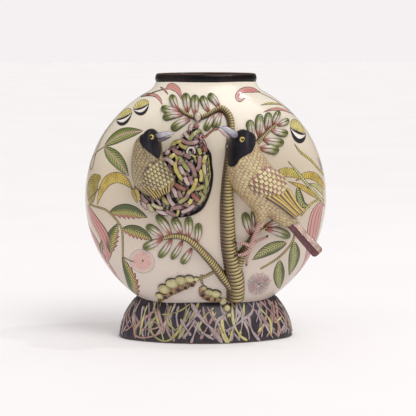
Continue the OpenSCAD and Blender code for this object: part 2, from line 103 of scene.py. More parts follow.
def place(x, z, lift):
    """Points that stand lift above the front wall at x and z, as seen from straight ahead."""
    dx, dz = x, z - body_z
    r = np.maximum(np.hypot(dx, dz), 1e-6)
    keep = np.minimum(1, (body_r - 0.01) / r)
    dx, dz, r = dx * keep, dz * keep, r * keep
    on_face = r <= tangent_r
    depth = np.where(
        on_face,
        np.sqrt(np.maximum(face_r ** 2 - r ** 2, 0)) - face_c,
        np.sqrt(np.maximum(edge_r ** 2 - (r - edge_ring) ** 2, 0)),
    )
    out_r = np.where(on_face, r / face_r, (r - edge_ring) / edge_r)
    out_y = -np.where(on_face, (depth + face_c) / face_r, depth / edge_r)
    return np.stack([
        dx + dx / r * out_r * lift,
        -depth + out_y * lift,
        body_z + dz + dz / r * out_r * lift,
    ], -1)


def to_chart(points):
    """Unrolls x and z places on the front into distances along the wall from its centre."""
    points = np.asarray(points, float)
    dx, dz = points[:, 0], points[:, 1] - body_z
    r = np.clip(np.hypot(dx, dz), 1e-6, body_r - 0.05)
    angle = np.where(
        r <= tangent_r,
        np.arcsin(np.minimum(r / face_r, 1)),
        np.arcsin(np.clip((r - edge_ring) / edge_r, -1, 1)),
    )
    run = np.where(
        r <= tangent_r,
        face_r * angle,
        face_r * tangent_angle + edge_r * (angle - tangent_angle),
    )
    return np.stack([dx / r * run, dz / r * run], -1)


def wrap(u, v, lift):
    """The unrolled chart laid back on the wall. Past the outer edge it carries on behind."""
    run = np.maximum(np.hypot(u, v), 1e-6)
    face_run = face_r * tangent_angle
    edge_run = edge_r * (math.pi - 2 * tangent_angle)
    angle = np.where(
        run <= face_run,
        run / face_r,
        np.where(
        run <= face_run + edge_run,
        tangent_angle + (run - face_run) / edge_r,
        math.pi - (2 * face_run + edge_run - run) / face_r,
        ),
    )
    on_edge = (run > face_run) & (run <= face_run + edge_run)
    radius = np.where(on_edge, edge_ring + edge_r * np.sin(angle), face_r * np.sin(angle))
    behind = run > face_run + edge_run
    depth = np.where(
        on_edge,
        -edge_r * np.cos(angle),
        np.where(behind, 1, -1) * (face_r * np.abs(np.cos(angle)) - face_c),
    )
    radius = radius + np.sin(angle) * lift
    return np.stack([u / run * radius, depth - np.cos(angle) * lift, body_z + v / run * radius], -1)


def turned(points):
    """The same place on the back of the vase."""
    return points * np.array([-1, -1, 1])


def lens_gap(x, y, z):
    """Distance to the outside of the round body, negative inside it."""
    r = np.hypot(x, z - body_z)
    depth = np.abs(y)
    face = np.hypot(r, depth + face_c) - face_r
    edge = np.hypot(r - edge_ring, depth) - edge_r
    return np.where(r * face_c <= edge_ring * (depth + face_c), face, edge)


Oval = namedtuple("Oval", "end_r side_r centre side_run quarter b")


def oval_of(a, b):
    """The four arcs of an oval. They meet where the outward direction rises 4 for every 3."""
    end_r = a - 1.5 * (a - b)
    side_r = 2.5 * (a - b) + end_r
    turn = math.atan2(3, 4)
    side_run = side_r * turn
    return Oval(end_r, side_r, a - end_r, side_run, side_run + end_r * (math.pi / 2 - turn), b)


def round_oval(oval, s, out):
    """x and y at distance s round the oval from its front, moved outward by out."""
    s = (np.asarray(s, float) + 2 * oval.quarter) % (4 * oval.quarter) - 2 * oval.quarter
    q = np.abs(s)
    back = q > oval.quarter
    q = np.where(back, 2 * oval.quarter - q, q)
    on_side = q <= oval.side_run
    angle = np.where(on_side, q / oval.side_r, math.atan2(3, 4) + (q - oval.side_run) / oval.end_r)
    x = np.where(on_side, (oval.side_r + out) * np.sin(angle),
        oval.centre + (oval.end_r + out) * np.sin(angle))
    y = np.where(on_side, oval.side_r - oval.b - (oval.side_r + out) * np.cos(angle),
        -(oval.end_r + out) * np.cos(angle))
    return np.sign(s) * x, np.where(back, -y, y)


neck_oval = oval_of(neck_a, neck_b)
foot_oval = oval_of(foot_a, foot_b)


def neck_gap(x, y):
    x, y = np.abs(x), np.abs(y)
    in_end = y * 3 <= (x - neck_oval.centre) * 4
    return np.where(in_end, np.hypot(x - neck_oval.centre, y) - neck_oval.end_r,
        np.hypot(x, y + neck_oval.side_r - neck_b) - neck_oval.side_r)


def vase_gap(x, y, z):
    """Body and neck as one thrown form, with a soft hollow where they meet."""
    lens = lens_gap(x, y, z)
    neck = neck_gap(x, y) + np.maximum(0, body_z + 80 - z)
    h = np.clip(0.5 + 0.5 * (neck - lens) / neck_blend, 0, 1)
    return neck * (1 - h) + lens * h - neck_blend * h * (1 - h)


def on_foot(s, z, lift):
    x, y = round_oval(foot_oval, s, foot_flare(z) + lift)
    return np.stack([x, y, z + 0 * x], -1)


# ---- routes -------------------------------------------------------------------------

def curve(rows, spacing):
    """A smooth run through the rows, at even steps along their first two columns."""
    rows = np.array(rows, float)
    p = np.vstack([rows[0], rows, rows[-1]])
    t = np.linspace(0, 1, 16, endpoint=False)[:, None]
    parts = [0.5 * (2 * b + (c - a) * t + (2 * a - 5 * b + 4 * c - d) * t ** 2
        + (3 * b - a - 3 * c + d) * t ** 3)
        for a, b, c, d in zip(p, p[1:], p[2:], p[3:])]
    dense = np.vstack([*parts, rows[-1:]])
    length = np.concatenate([[0], np.cumsum(np.linalg.norm(np.diff(dense[:, :2], axis=0), axis=1))])
    at = np.linspace(0, length[-1], max(4, int(length[-1] / spacing) + 1))
    return np.stack([np.interp(at, length, column) for column in dense.T], 1)


def bowed(a, b, bow):
    """A route from a to b whose middle is pushed aside by bow times its length."""
    a, b = np.array(a, float), np.array(b, float)
    middle = (a + b) / 2 + np.array([a[1] - b[1], b[0] - a[0]]) * bow
    return [a, middle, b]


def along_share(count):
    return np.linspace(0, 1, count)


# ---- clay ---------------------------------------------------------------------------

VALUES = ("along", "across", "half", "share")


def grid_faces(rows, columns, closed):
    i = np.arange(rows - 1)[:, None] * columns
    j = np.arange(columns if closed else columns - 1)[None, :]
    k = (j + 1) % columns
    return np.stack([i + j, i + k, i + k + columns, i + j + columns], -1).reshape(-1, 4)


class Clay:
    """What is modelled or painted for one piece, gathered before it becomes a mesh."""

    def __init__(self):
        self.points = []
        self.faces = []
        self.tints = []
        self.values = {key: [] for key in VALUES}
        self.count = 0

    def tube(self, rings, tint=(1, 1, 1), **values):
        """Closed rings of points, (rows, columns, 3), skinned and capped."""
        rows, columns = rings.shape[:2]
        faces = grid_faces(rows, columns, True) + self.count
        self.faces.extend(faces.tolist())
        self.faces.append([self.count + k for k in range(columns)][::-1])
        self.faces.append([self.count + (rows - 1) * columns + k for k in range(columns)])
        self.points.append(rings.reshape(-1, 3))
        tint = np.asarray(tint, float)
        if tint.ndim == 1:
            tint = np.broadcast_to(tint, (rows, columns, 3))
        self.tints.append(tint.reshape(-1, 3))
        for key in VALUES:
            value = np.asarray(values.get(key, 0.0), float)
            if value.ndim == 1:
                value = value[:, None]
            self.values[key].append(np.broadcast_to(value, (rows, columns)).reshape(-1))
        self.count += rows * columns

    def tree(self):
        """For finding the clay's surface from outside."""
        return BVHTree.FromPolygons([Vector(p) for p in np.concatenate(self.points)], self.faces)

    def piece(self, name, finish, slot, *nodes):
        mesh = bpy.data.meshes.new(name)
        mesh.from_pydata((np.concatenate(self.points) * MM).tolist(), [], self.faces)
        for key in VALUES:
            store = mesh.attributes.new(key, "FLOAT", "POINT")
            store.data.foreach_set("value", np.concatenate(self.values[key]).astype(np.float32))
        tint = np.concatenate(self.tints)
        store = mesh.attributes.new("tint", "FLOAT_COLOR", "POINT")
        colours = np.column_stack([tint, np.ones(len(tint))]).astype(np.float32)
        store.data.foreach_set("color", colours.ravel())
        skin = bmesh.new()
        skin.from_mesh(mesh)
        bmesh.ops.recalc_face_normals(skin, faces=skin.faces)
        for face in skin.faces:
            face.smooth = True
        skin.to_mesh(mesh)
        skin.free()
        mesh.materials.append(finish)
        made = bpy.data.objects.new(name, mesh)
        bpy.context.scene.collection.objects.link(made)
        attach(made, "root")
        if nodes:
            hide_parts(*nodes)
        return made


def sweep(clay, route, half, height, lift=0.0, sunk=1.0, sides=11, blunt=1.0, flat=False,
        lay=place, right=None, tint=(1, 1, 1), swell=None, girth=False, upright=False, pace=None):
    """Lays clay along a route over the wall, with an arched top, or a flat one for paint.

    Girth stores the distance round the arched top as across, in place of the reach. Upright
    sections lie level whatever way the route leans. Pace stretches the stored along."""
    route = np.asarray(route, float)
    count = len(route)
    half = np.broadcast_to(np.asarray(half, float), (count,))
    right = half if right is None else np.broadcast_to(np.asarray(right, float), (count,))
    height = np.broadcast_to(np.asarray(height, float), (count,))
    lift = np.broadcast_to(np.asarray(lift, float), (count,))[:, None]
    step = np.gradient(route, axis=0)
    step /= np.maximum(np.linalg.norm(step, axis=1, keepdims=True), 1e-9)
    if upright:
        step = np.broadcast_to([0.0, 1.0], (count, 2))
    if flat:
        c = np.linspace(-1, 1, sides)
        s = np.ones(sides)
    else:
        a = np.linspace(math.pi, 0, sides)
        c = np.sign(np.cos(a)) * np.abs(np.cos(a)) ** blunt
        s = np.maximum(np.sin(a), 0) ** blunt
    steps = np.linalg.norm(np.diff(route, axis=0), axis=1)
    share = np.concatenate([[0], np.cumsum(steps)]) / steps.sum()
    if pace is not None:
        steps = steps * pace[1:]
    along = np.concatenate([[0], np.cumsum(steps)])
    grow = 1.0 if swell is None else swell(along[:, None], c[None, :])
    side = np.where(c[None, :] < 0, half[:, None], right[:, None])
    reach = side * c[None, :] * grow
    high = lift + height[:, None] * s[None, :] * grow
    low = np.broadcast_to(lift - sunk, (count, 2))
    across = reach if not girth else (
        -np.arccos(np.clip(-c, -1, 1)) + math.pi / 2)[None, :] * -(half + height)[:, None] / 2
    across = np.concatenate([across, across[:, -1:], across[:, :1]], 1)
    reach = np.concatenate([reach, reach[:, -1:], reach[:, :1]], 1)
    side = np.concatenate([side, side[:, -1:], side[:, :1]], 1)
    high = np.concatenate([high, low], 1)
    u = route[:, :1] + step[:, 1:] * reach
    v = route[:, 1:] - step[:, :1] * reach
    clay.tube(lay(u, v, high), tint, along=along, across=across, half=side,
        share=share)


def rod(clay, points, radii, sides=12, squash=1.0, tint=(1, 1, 1), swell=None):
    """A rolled tube through points in space, with round ends."""
    rows = [[0, 0, *p, r] for p, r in zip(points, radii)]
    for i in range(1, len(rows)):
        gap = np.linalg.norm(np.array(rows[i][2:5]) - np.array(rows[i - 1][2:5]))
        rows[i][0] = rows[i - 1][0] + gap
    rows = curve(rows, max(0.5, rows[-1][0] / 40))
    spine, radius, along = rows[:, 2:5], rows[:, 5].copy(), rows[:, 0]
    if swell is not None:
        radius *= swell(along)
    step = np.gradient(spine, axis=0)
    step /= np.linalg.norm(step, axis=1, keepdims=True)
    side = np.cross(step, [0.0, -1.0, 0.0])
    side /= np.maximum(np.linalg.norm(side, axis=1, keepdims=True), 1e-6)
    out = np.cross(side, step)
    a = np.linspace(0, 2 * math.pi, sides, endpoint=False)
    ends = np.array([0.35, 0.75])
    first = [spine[0] - step[0] * radius[0] * k for k in (0.85, 0.45)]
    last = [spine[-1] + step[-1] * radius[-1] * k for k in (0.45, 0.85)]
    spine = np.vstack([first, spine, last])
    radius = np.concatenate([radius[0] * ends, radius, radius[-1] * ends[::-1]])
    side = np.vstack([side[:1], side[:1], side, side[-1:], side[-1:]])
    out = np.vstack([out[:1], out[:1], out, out[-1:], out[-1:]])
    along = np.concatenate([[0, 0], along, [along[-1]] * 2])
    rings = (spine[:, None] + radius[:, None, None] * (
        np.cos(a)[None, :, None] * side[:, None] + squash * np.sin(a)[None, :, None] * out[:, None]))
    clay.tube(rings, tint, along=along, across=radius[:, None] * np.cos(a)[None, :], half=radius,
        share=along / max(along[-1], 1e-6))


def ball(clay, centre, radius, pole, tint=(1, 1, 1), deep=1.0, sides=24):
    """A rolled ball. Its share runs from 0 at the pole to 1 behind it."""
    pole = np.asarray(pole, float) / np.linalg.norm(pole)
    side = np.cross(pole, [0, 0, 1])
    side /= np.linalg.norm(side)
    up = np.cross(side, pole)
    down = np.linspace(0.03, math.pi - 0.03, sides // 2)
    a = np.linspace(0, 2 * math.pi, sides, endpoint=False)
    flat = np.sin(down)[:, None, None] * (
        np.cos(a)[None, :, None] * side + np.sin(a)[None, :, None] * up)
    rings = np.asarray(centre) + radius * (flat + deep * np.cos(down)[:, None, None] * pole)
    clay.tube(rings, tint, share=down / math.pi, half=radius,
        across=radius * np.sin(down), along=down * radius)


def outward(x, z):
    """The wall's outward direction at x and z."""
    return (place(np.array(x, float), np.array(z, float), 1.0)
        - place(np.array(x, float), np.array(z, float), 0.0))


def spot(x, z, lift):
    return place(np.array(float(x)), np.array(float(z)), float(lift))


# ---- glazes and paints --------------------------------------------------------------

def shade(r, g, b):
    """A paint colour, mixed as it is seen (0 to 255), as the linear colour a shader takes."""
    return tuple((v / 255 / 12.92) if v <= 10 else ((v / 255 + 0.055) / 1.055) ** 2.4
        for v in (r, g, b))


class Recipe:
    """Draws up the nodes of one finish or shared effect."""

    def __init__(self, tree):
        self.tree = tree

    def node(self, kind, **settings):
        made = self.tree.nodes.new(kind)
        for key, value in settings.items():
            setattr(made, key, value)
        return made

    def feed(self, socket, value):
        if isinstance(value, bpy.types.NodeSocket):
            self.tree.links.new(value, socket)
        elif isinstance(value, tuple) and len(value) == 3 and socket.type == "RGBA":
            socket.default_value = (*value, 1)
        else:
            socket.default_value = value

    def math(self, operation, *values):
        made = self.node("ShaderNodeMath", operation=operation)
        for socket, value in zip(made.inputs, values):
            self.feed(socket, value)
        return made.outputs[0]

    def times(self, a, b):
        return self.math("MULTIPLY", a, b)

    def plus(self, a, b):
        return self.math("ADD", a, b)

    def less(self, a, b):
        return self.math("SUBTRACT", a, b)

    def over(self, a, b):
        return self.math("DIVIDE", a, b)

    def size(self, a):
        return self.math("ABSOLUTE", a)

    def mix(self, amount, a, b, blend="MIX"):
        made = self.node("ShaderNodeMix", data_type="RGBA", blend_type=blend)
        self.feed(made.inputs[0], amount)
        self.feed(made.inputs[6], a)
        self.feed(made.inputs[7], b)
        return made.outputs[2]

    def slope(self, value, low, high, start=0.0, end=1.0):
        """A soft step from start to end as value goes from low to high."""
        made = self.node("ShaderNodeMapRange", interpolation_type="SMOOTHSTEP")
        for socket, number in zip(made.inputs, (value, low, high, start, end)):
            self.feed(socket, number)
        return made.outputs[0]

    def ramp(self, value, stops):
        made = self.node("ShaderNodeValToRGB")
        elements = made.color_ramp.elements
        elements[0].color = (*stops[0][1], 1)
        elements[1].color = (*stops[-1][1], 1)
        for at, colour in stops:
            elements.new(at).color = (*colour, 1)
        self.feed(made.inputs[0], value)
        return made.outputs[0]

    def value(self, name):
        return self.node("ShaderNodeAttribute", attribute_name=name).outputs["Fac"]

    def fade(self, value, near, far):
        """1 up to near, then a soft fall to 0 at far."""
        return self.slope(value, near, far, 1.0, 0.0)

    def lean(self, least):
        """Where a shape is across its width: -1 at one edge, 1 at the other."""
        return self.over(self.value("across"), self.math("MAXIMUM", self.value("half"), least))

    def midline(self, near, far):
        return self.fade(self.size(self.value("across")), near, far)

    def streaks(self, across, along):
        """Brush streaks that run along a shape."""
        return self.noise(1.0, 3.0, self.pair(self.times(self.value("across"), across),
            self.times(self.value("along"), along)))

    def cells(self, scale):
        made = self.node("ShaderNodeTexVoronoi")
        self.feed(made.inputs["Vector"], self.place())
        self.feed(made.inputs["Scale"], scale)
        return made.outputs["Distance"]

    def tint(self):
        return self.node("ShaderNodeAttribute", attribute_name="tint").outputs["Color"]

    def place(self):
        return self.node("ShaderNodeTexCoord").outputs["Object"]

    def noise(self, scale, detail=2.0, vector=None, rough=0.5):
        made = self.node("ShaderNodeTexNoise")
        self.feed(made.inputs["Vector"], vector or self.place())
        self.feed(made.inputs["Scale"], scale)
        self.feed(made.inputs["Detail"], detail)
        self.feed(made.inputs["Roughness"], rough)
        return made.outputs[0]

    def pair(self, x, y):
        made = self.node("ShaderNodeCombineXYZ")
        for socket, value in zip(made.inputs, (x, y)):
            self.feed(socket, value)
        return made.outputs[0]

    def effect(self, group, **inputs):
        made = self.node("ShaderNodeGroup", node_tree=group)
        for key, value in inputs.items():
            self.feed(made.inputs[key.replace("_", " ")], value)
        return made.outputs


def effect(name, inputs, outputs):
    """A shared effect: its recipe, its inputs' sockets, and a call that sets what it puts out."""
    group = bpy.data.node_groups.new(name, "ShaderNodeTree")
    kinds = {"colour": "NodeSocketColor", "number": "NodeSocketFloat"}
    for key, kind in inputs.items():
        group.interface.new_socket(key, in_out="INPUT", socket_type=kinds[kind])
    for key, kind in outputs.items():
        group.interface.new_socket(key, in_out="OUTPUT", socket_type=kinds[kind])
    recipe = Recipe(group)
    taken = recipe.node("NodeGroupInput").outputs
    given = recipe.node("NodeGroupOutput").inputs
    return group, recipe, taken, given


def brush_outline():
    """A fine brush line just inside a painted shape's two edges, pressed unevenly."""
    group, r, taken, given = effect("brush outline", {"Colour": "colour", "Ink": "colour",
        "Line": "number"}, {"Colour": "colour"})
    inside = r.less(r.value("half"), r.size(r.value("across")))
    press = r.slope(r.noise(160.0, 2.0), 0.3, 0.7, 0.55, 1.25)
    line = r.times(taken["Line"], press)
    near = r.times(line, 0.55)
    amount = r.fade(inside, near, line)
    r.feed(given["Colour"], r.mix(amount, taken["Colour"], taken["Ink"]))
    return group


def brush_hatch():
    """Fine slanted strokes laid side by side across a leaf, a petal or a strip."""
    group, r, taken, given = effect("brush hatch", {"Colour": "colour", "Ink": "colour",
        "Spacing": "number", "Slant": "number",
        "Amount": "number"}, {"Colour": "colour",
        "Stroke": "number"})
    leaned = r.times(r.size(r.value("across")), taken["Slant"])
    run = r.less(r.value("along"), leaned)
    wobble = r.times(r.noise(90.0, 2.0), 1.4)
    phase = r.plus(r.over(run, taken["Spacing"]), wobble)
    wave = r.size(r.less(r.math("FRACT", phase), 0.5))
    stroke = r.fade(wave, 0.1, 0.28)
    r.feed(given["Stroke"], stroke)
    r.feed(given["Colour"], r.mix(r.times(stroke, taken["Amount"]), taken["Colour"], taken["Ink"]))
    return group


def glaze_mottle():
    """Clouding of a colour under glaze, and the ripple that it leaves in the surface."""
    group, r, taken, given = effect("glaze mottle", {"Colour": "colour", "Cloud": "colour",
        "Scale": "number", "Amount": "number"},
        {"Colour": "colour", "Ripple": "number"})
    cloud = r.noise(taken["Scale"], 4.0, rough=0.6)
    amount = r.times(r.slope(cloud, 0.35, 0.7), taken["Amount"])
    r.feed(given["Colour"], r.mix(amount, taken["Colour"], taken["Cloud"]))
    r.feed(given["Ripple"], cloud)
    return group


def feather_scales():
    """Rows of small rounded feathers that overlap like tiles."""
    group, r, taken, given = effect("feather scales", {"Size": "number"}, {"Edge": "number",
        "Height": "number",
        "Pick": "number"})
    u = r.over(r.value("across"), taken["Size"])
    v = r.times(r.over(r.value("along"), taken["Size"]), 2.0)
    row = r.math("FLOOR", v)
    down = r.times(r.less(v, row), 0.5)
    shifted = r.plus(u, r.times(row, 0.5))
    column = r.math("FLOOR", shifted)
    over = r.size(r.less(r.less(shifted, column), 0.5))
    reach = r.math("SQRT", r.plus(r.math("POWER", over, 2.0), r.math("POWER", down, 2.0)))
    under = r.math("GREATER_THAN", reach, 0.5)
    height = r.less(r.plus(down, 0.5), r.times(under, 0.5))
    gap = r.size(r.less(reach, 0.47))
    r.feed(given["Edge"], r.fade(gap, 0.03, 0.1))
    r.feed(given["Height"], height)
    white = r.node("ShaderNodeTexWhiteNoise", noise_dimensions="2D")
    r.feed(white.inputs["Vector"], r.pair(column, row))
    r.feed(given["Pick"], white.outputs["Value"])
    return group


def ring_bands():
    """Curved growth rings across a rolled stem, each dark at one side and pale at the other."""
    group, r, taken, given = effect("ring bands", {"Spacing": "number", "Sag": "number"},
        {"Line": "number", "Fade": "number"})
    lean = r.over(r.value("across"), r.value("half"))
    sag = r.times(r.math("POWER", r.size(lean), 2.0), taken["Sag"])
    wobble = r.times(r.noise(70.0, 2.0), 0.35)
    run = r.less(r.value("along"), sag)
    phase = r.math("FRACT", r.plus(r.over(run, taken["Spacing"]), wobble))
    r.feed(given["Fade"], phase)
    gap = r.size(r.less(phase, 0.5))
    r.feed(given["Line"], r.slope(gap, 0.33, 0.42))
    return group


def edge_wear_and_sheen():
    """The sharp places of a form. On the rim they are where a glaze breaks thin over them; on the black
    hood and the nest's dark parts they carry a painted highlight.
    """
    group, r, taken, given = effect("edge wear and sheen", {"Start": "number", "Full": "number"},
        {"Wear and sheen": "number"})
    point = r.node("ShaderNodeNewGeometry").outputs["Pointiness"]
    patchy = r.slope(r.noise(60.0, 3.0), 0.3, 0.6, 0.3, 1.0)
    wear_and_sheen = r.slope(point, taken["Start"], taken["Full"])
    r.feed(given["Wear and sheen"], r.times(wear_and_sheen, patchy))
    return group


OUTLINE = brush_outline()
HATCH = brush_hatch()
MOTTLE = glaze_mottle()
SCALES = feather_scales()
RINGS = ring_bands()
EDGE_WEAR_AND_SHEEN = edge_wear_and_sheen()


def glazed(name, colour, ripple=None, recipe=None, rough=0.3, coat=0.35, depth=0.12, gloss=0.5):
    """Finishes a material: a colour under clear glaze, with the ripple as a fine bump."""
    shader = recipe.tree.nodes["Principled BSDF"]
    recipe.feed(shader.inputs["Base Color"], colour)
    shader.inputs["Roughness"].default_value = rough
    shader.inputs["Specular IOR Level"].default_value = gloss
    shader.inputs["Coat Weight"].default_value = coat
    shader.inputs["Coat Roughness"].default_value = 0.08
    if ripple is not None:
        bump = recipe.node("ShaderNodeBump")
        bump.inputs["Strength"].default_value = 0.5
        bump.inputs["Distance"].default_value = depth * MM * 10
        recipe.feed(bump.inputs["Height"], ripple)
        recipe.feed(shader.inputs["Normal"], bump.outputs[0])
    return bpy.data.materials[name]


def start(name):
    material = bpy.data.materials.new(name)
    material.use_nodes = True
    return Recipe(material.node_tree)


INK = shade(38, 30, 38)


def cream_body():
    r = start("cream glaze")
    xyz = r.node("ShaderNodeSeparateXYZ")
    r.feed(xyz.inputs[0], r.place())
    up = r.over(xyz.outputs["Z"], top_z * MM)
    # Colour by height, partly the glaze's own tone and partly painted light and shade: pinkish low down,
    # darker at mid-height, brightest towards the shoulder.
    ground = r.ramp(up, [(0.1, shade(214, 201, 192)), (0.34, shade(214, 200, 187)), (0.5, shade(204, 188,
        167)),
        (0.66, shade(211, 197, 175)), (0.9, shade(240, 230, 213))])
    clouded = r.effect(MOTTLE, Colour=ground, Cloud=shade(194, 178, 158), Scale=9.0, Amount=0.35)
    speck = r.fade(r.cells(62.0), 0.035, 0.06)
    rare = r.math("GREATER_THAN", r.noise(31.0, 0.0), 0.56)
    speckled = r.mix(r.times(r.times(speck, rare), 0.55), clouded["Colour"], shade(110, 84, 66))
    ripple = r.plus(r.times(r.noise(26.0, 2.0), 1.0), r.times(r.noise(240.0, 2.0), 0.12))
    return glazed("cream glaze", speckled, ripple, r, rough=0.27, coat=0.35, depth=0.09)


def black_rim():
    r = start("black rim glaze")
    wear_and_sheen = r.effect(EDGE_WEAR_AND_SHEEN, Start=0.515, Full=0.56)["Wear and sheen"]
    streak = r.slope(r.noise(34.0, 5.0, rough=0.7), 0.48, 0.72)
    base = r.mix(streak, shade(14, 9, 13), shade(40, 27, 26))
    edge = r.slope(r.value("share"), 0.42, 0.5)
    edged = r.mix(r.times(edge, 0.5), base, shade(92, 58, 34))
    coloured = r.mix(r.times(wear_and_sheen, 0.5), edged, shade(120, 78, 44))
    return glazed("black rim glaze", coloured, r.noise(55.0, 4.0), r, rough=0.28, coat=0.12, depth=0.2,
        gloss=0.2)


def root_ground():
    r = start("charcoal ground")
    brush = r.noise(85.0, 5.0, rough=0.7)
    base = r.mix(r.slope(brush, 0.4, 0.65), shade(34, 27, 37), shade(54, 45, 55))
    foot_edge = r.fade(r.value("across"), 0.4, 1.6)
    edged = r.mix(r.times(foot_edge, 0.7), base, shade(150, 118, 100))
    return glazed("charcoal ground", edged, brush, r, rough=0.42, coat=0.2, depth=0.14)


def tinted(name, line=0.7, ink=INK, hatch=0.0, spacing=1.6, slant=0.5, cloud=0.3, edge_fade=0.0,
        rough=0.3, coat=0.35):
    """Paint in each shape's own tint, brush-hatched and outlined."""
    r = start(name)
    own = r.tint()
    darker = r.mix(1.0, own, shade(176, 150, 150), "MULTIPLY")
    clouded = r.effect(MOTTLE, Colour=own, Cloud=darker, Scale=120.0, Amount=cloud)
    colour = clouded["Colour"]
    if edge_fade:
        lean = r.size(r.lean(0.05))
        colour = r.mix(r.slope(lean, 0.35, 1.0, 0.0, edge_fade), colour, darker)
    if hatch:
        colour = r.effect(HATCH, Colour=colour, Ink=ink, Spacing=spacing, Slant=slant,
            Amount=hatch)["Colour"]
    if line:
        colour = r.effect(OUTLINE, Colour=colour, Ink=ink, Line=line)["Colour"]
    return glazed(name, colour, clouded["Ripple"], r, rough=rough, coat=coat, depth=0.06)


def green_leaf(name, dark, pale, rib, toothed):
    """A painted leaf: dark on its upper side, pale on its lower, with fine slanted veins."""
    r = start(name)
    lean = r.lean(0.05)
    rough_lean = r.plus(lean, r.times(r.less(r.noise(120.0, 3.0), 0.5), 0.5))
    if toothed:
        stops = [(0.0, dark), (0.32, dark), (0.55, pale), (0.74, pale), (0.86, shade(206, 120, 104)),
            (1.0, shade(196, 106, 96))]
        ground = r.ramp(r.math("MULTIPLY_ADD", rough_lean, 0.5, 0.5), stops)
    else:
        ground = r.ramp(r.math("MULTIPLY_ADD", rough_lean, 0.5, 0.5), [(0.0, dark), (0.2, dark),
            (0.42, pale), (0.62, pale),
            (1.0, dark)])
    veined = r.effect(HATCH, Colour=ground, Ink=shade(48, 56, 24), Spacing=3.5, Slant=1.0,
        Amount=1.0)["Colour"]
    if rib:
        middle = r.midline(0.5, 0.85)
        veined = r.mix(middle, veined, rib)
        beside = r.fade(r.size(r.less(r.size(r.value("across")), 1.1)), 0.1, 0.35)
        veined = r.mix(r.times(beside, 0.75), veined, shade(120, 52, 50))
    else:
        middle = r.midline(0.15, 0.4)
        veined = r.mix(r.times(middle, 0.6), veined, shade(84, 70, 44))
    colour = r.effect(OUTLINE, Colour=veined, Ink=shade(48, 36, 34), Line=1.15)["Colour"]
    return glazed(name, colour, r.noise(300.0, 2.0), r, rough=0.3, depth=0.03)


def banded_petal():
    """Pink petals with long curved darker lines that follow the petal."""
    r = start("pink petal")
    lean = r.lean(0.05)
    phase = r.math("FRACT", r.math("MULTIPLY_ADD", lean, 2.0, 0.25))
    line = r.fade(r.size(r.less(phase, 0.5)), 0.07, 0.17)
    own = r.tint()
    soft = r.mix(r.slope(lean, -0.6, 0.9, 0.0, 0.6), own, shade(206, 160, 150))
    lined = r.mix(r.times(line, 0.85), soft, shade(116, 74, 74))
    colour = r.effect(OUTLINE, Colour=lined, Ink=shade(70, 46, 50), Line=1.0)["Colour"]
    return glazed("pink petal", colour, r.noise(200.0, 2.0), r, rough=0.3, depth=0.03)


def bark():
    r = start("ringed bark")
    rings = r.effect(RINGS, Spacing=ring_gap, Sag=1.7)
    lean = r.size(r.over(r.value("across"), r.value("half")))
    band = r.ramp(rings["Fade"], [(0.0, shade(92, 66, 40)), (0.22, shade(144, 118, 68)),
        (0.6, shade(200, 184, 120)), (0.88, shade(218, 202, 142)),
        (1.0, shade(126, 98, 56))])
    signed = r.over(r.value("across"), r.value("half"))
    # Darker towards the stem's left side: painted shade, as if lit from the right.
    shaded = r.mix(r.slope(signed, -0.8, 0.3, 0.92, 0.0), band, shade(72, 48, 34))
    # Darker brown on both flanks: painted shade where the round stem turns away from the light.
    sides = r.mix(r.slope(lean, 0.6, 0.98, 0.0, 0.7), shaded, shade(96, 70, 42))
    streak = r.streaks(1.6, 0.35)
    brushed = r.mix(r.slope(streak, 0.45, 0.75, 0.0, 0.45), sides, shade(128, 92, 50))
    lined = r.mix(rings["Line"], brushed, shade(38, 24, 20))
    colour = r.mix(r.slope(lean, 0.93, 1.0), lined, shade(46, 30, 26))
    return glazed("ringed bark", colour, streak, r, rough=0.34, coat=0.25, depth=0.08)


def leaflet_paint():
    r = start("leaflet paint")
    lean = r.size(r.lean(0.1))
    share = r.plus(r.value("share"), r.times(r.less(r.noise(260.0, 3.0), 0.5), 0.22))
    along = r.ramp(share, [(0.0, shade(142, 68, 54)), (0.17, shade(180, 108, 92)), (0.33, shade(206, 188,
        178)),
        (0.54, shade(206, 194, 180)), (0.68, shade(142, 148, 84)), (0.8, shade(94, 104,
        46)),
        (1.0, shade(66, 76, 34))])
    edge = r.times(r.slope(lean, 0.44, 0.84), r.slope(share, 0.26, 0.48))
    greened = r.mix(r.times(edge, 0.85), along, shade(106, 116, 50))
    fine = r.effect(HATCH, Colour=greened, Ink=shade(120, 96, 84), Spacing=1.1, Slant=0.8,
        Amount=0.28)["Colour"]
    middle = r.times(r.midline(0.3, 0.62), r.fade(share, 0.86, 0.93))
    lined = r.mix(middle, fine, shade(28, 22, 30))
    colour = r.mix(r.slope(lean, 0.84, 0.97, 0.0, 0.95), lined, shade(58, 48, 34))
    return glazed("leaflet paint", colour, r.noise(220.0, 2.0), r, rough=0.25, coat=0.4, depth=0.05)


def plumage(name, fill, tip, edge, size, amount):
    """Breast and back: small rounded feathers in relief, each outlined."""
    r = start(name)
    scales = r.effect(SCALES, Size=size)
    # Each small feather takes the colour given as tip at its top, under the edge of the row above, and fill
    # at its free lower edge: painted shade under the overlap.
    fade = r.mix(r.slope(scales["Height"], 0.15, 0.95), tip, fill)
    varied = r.mix(r.times(scales["Pick"], 0.35), fade, edge)
    patch = r.slope(r.noise(30.0, 3.0), 0.4, 0.65, 0.0, 0.4)
    warmed = r.mix(patch, varied, r.mix(1.0, varied, shade(232, 216, 206), "MULTIPLY"))
    broken = r.slope(r.noise(210.0, 2.0), 0.34, 0.56, 0.25, 1.0)
    colour = r.mix(r.times(r.times(scales["Edge"], broken), amount), warmed, edge)
    return glazed(name, colour, scales["Height"], r, rough=0.38, coat=0.2, depth=0.05)


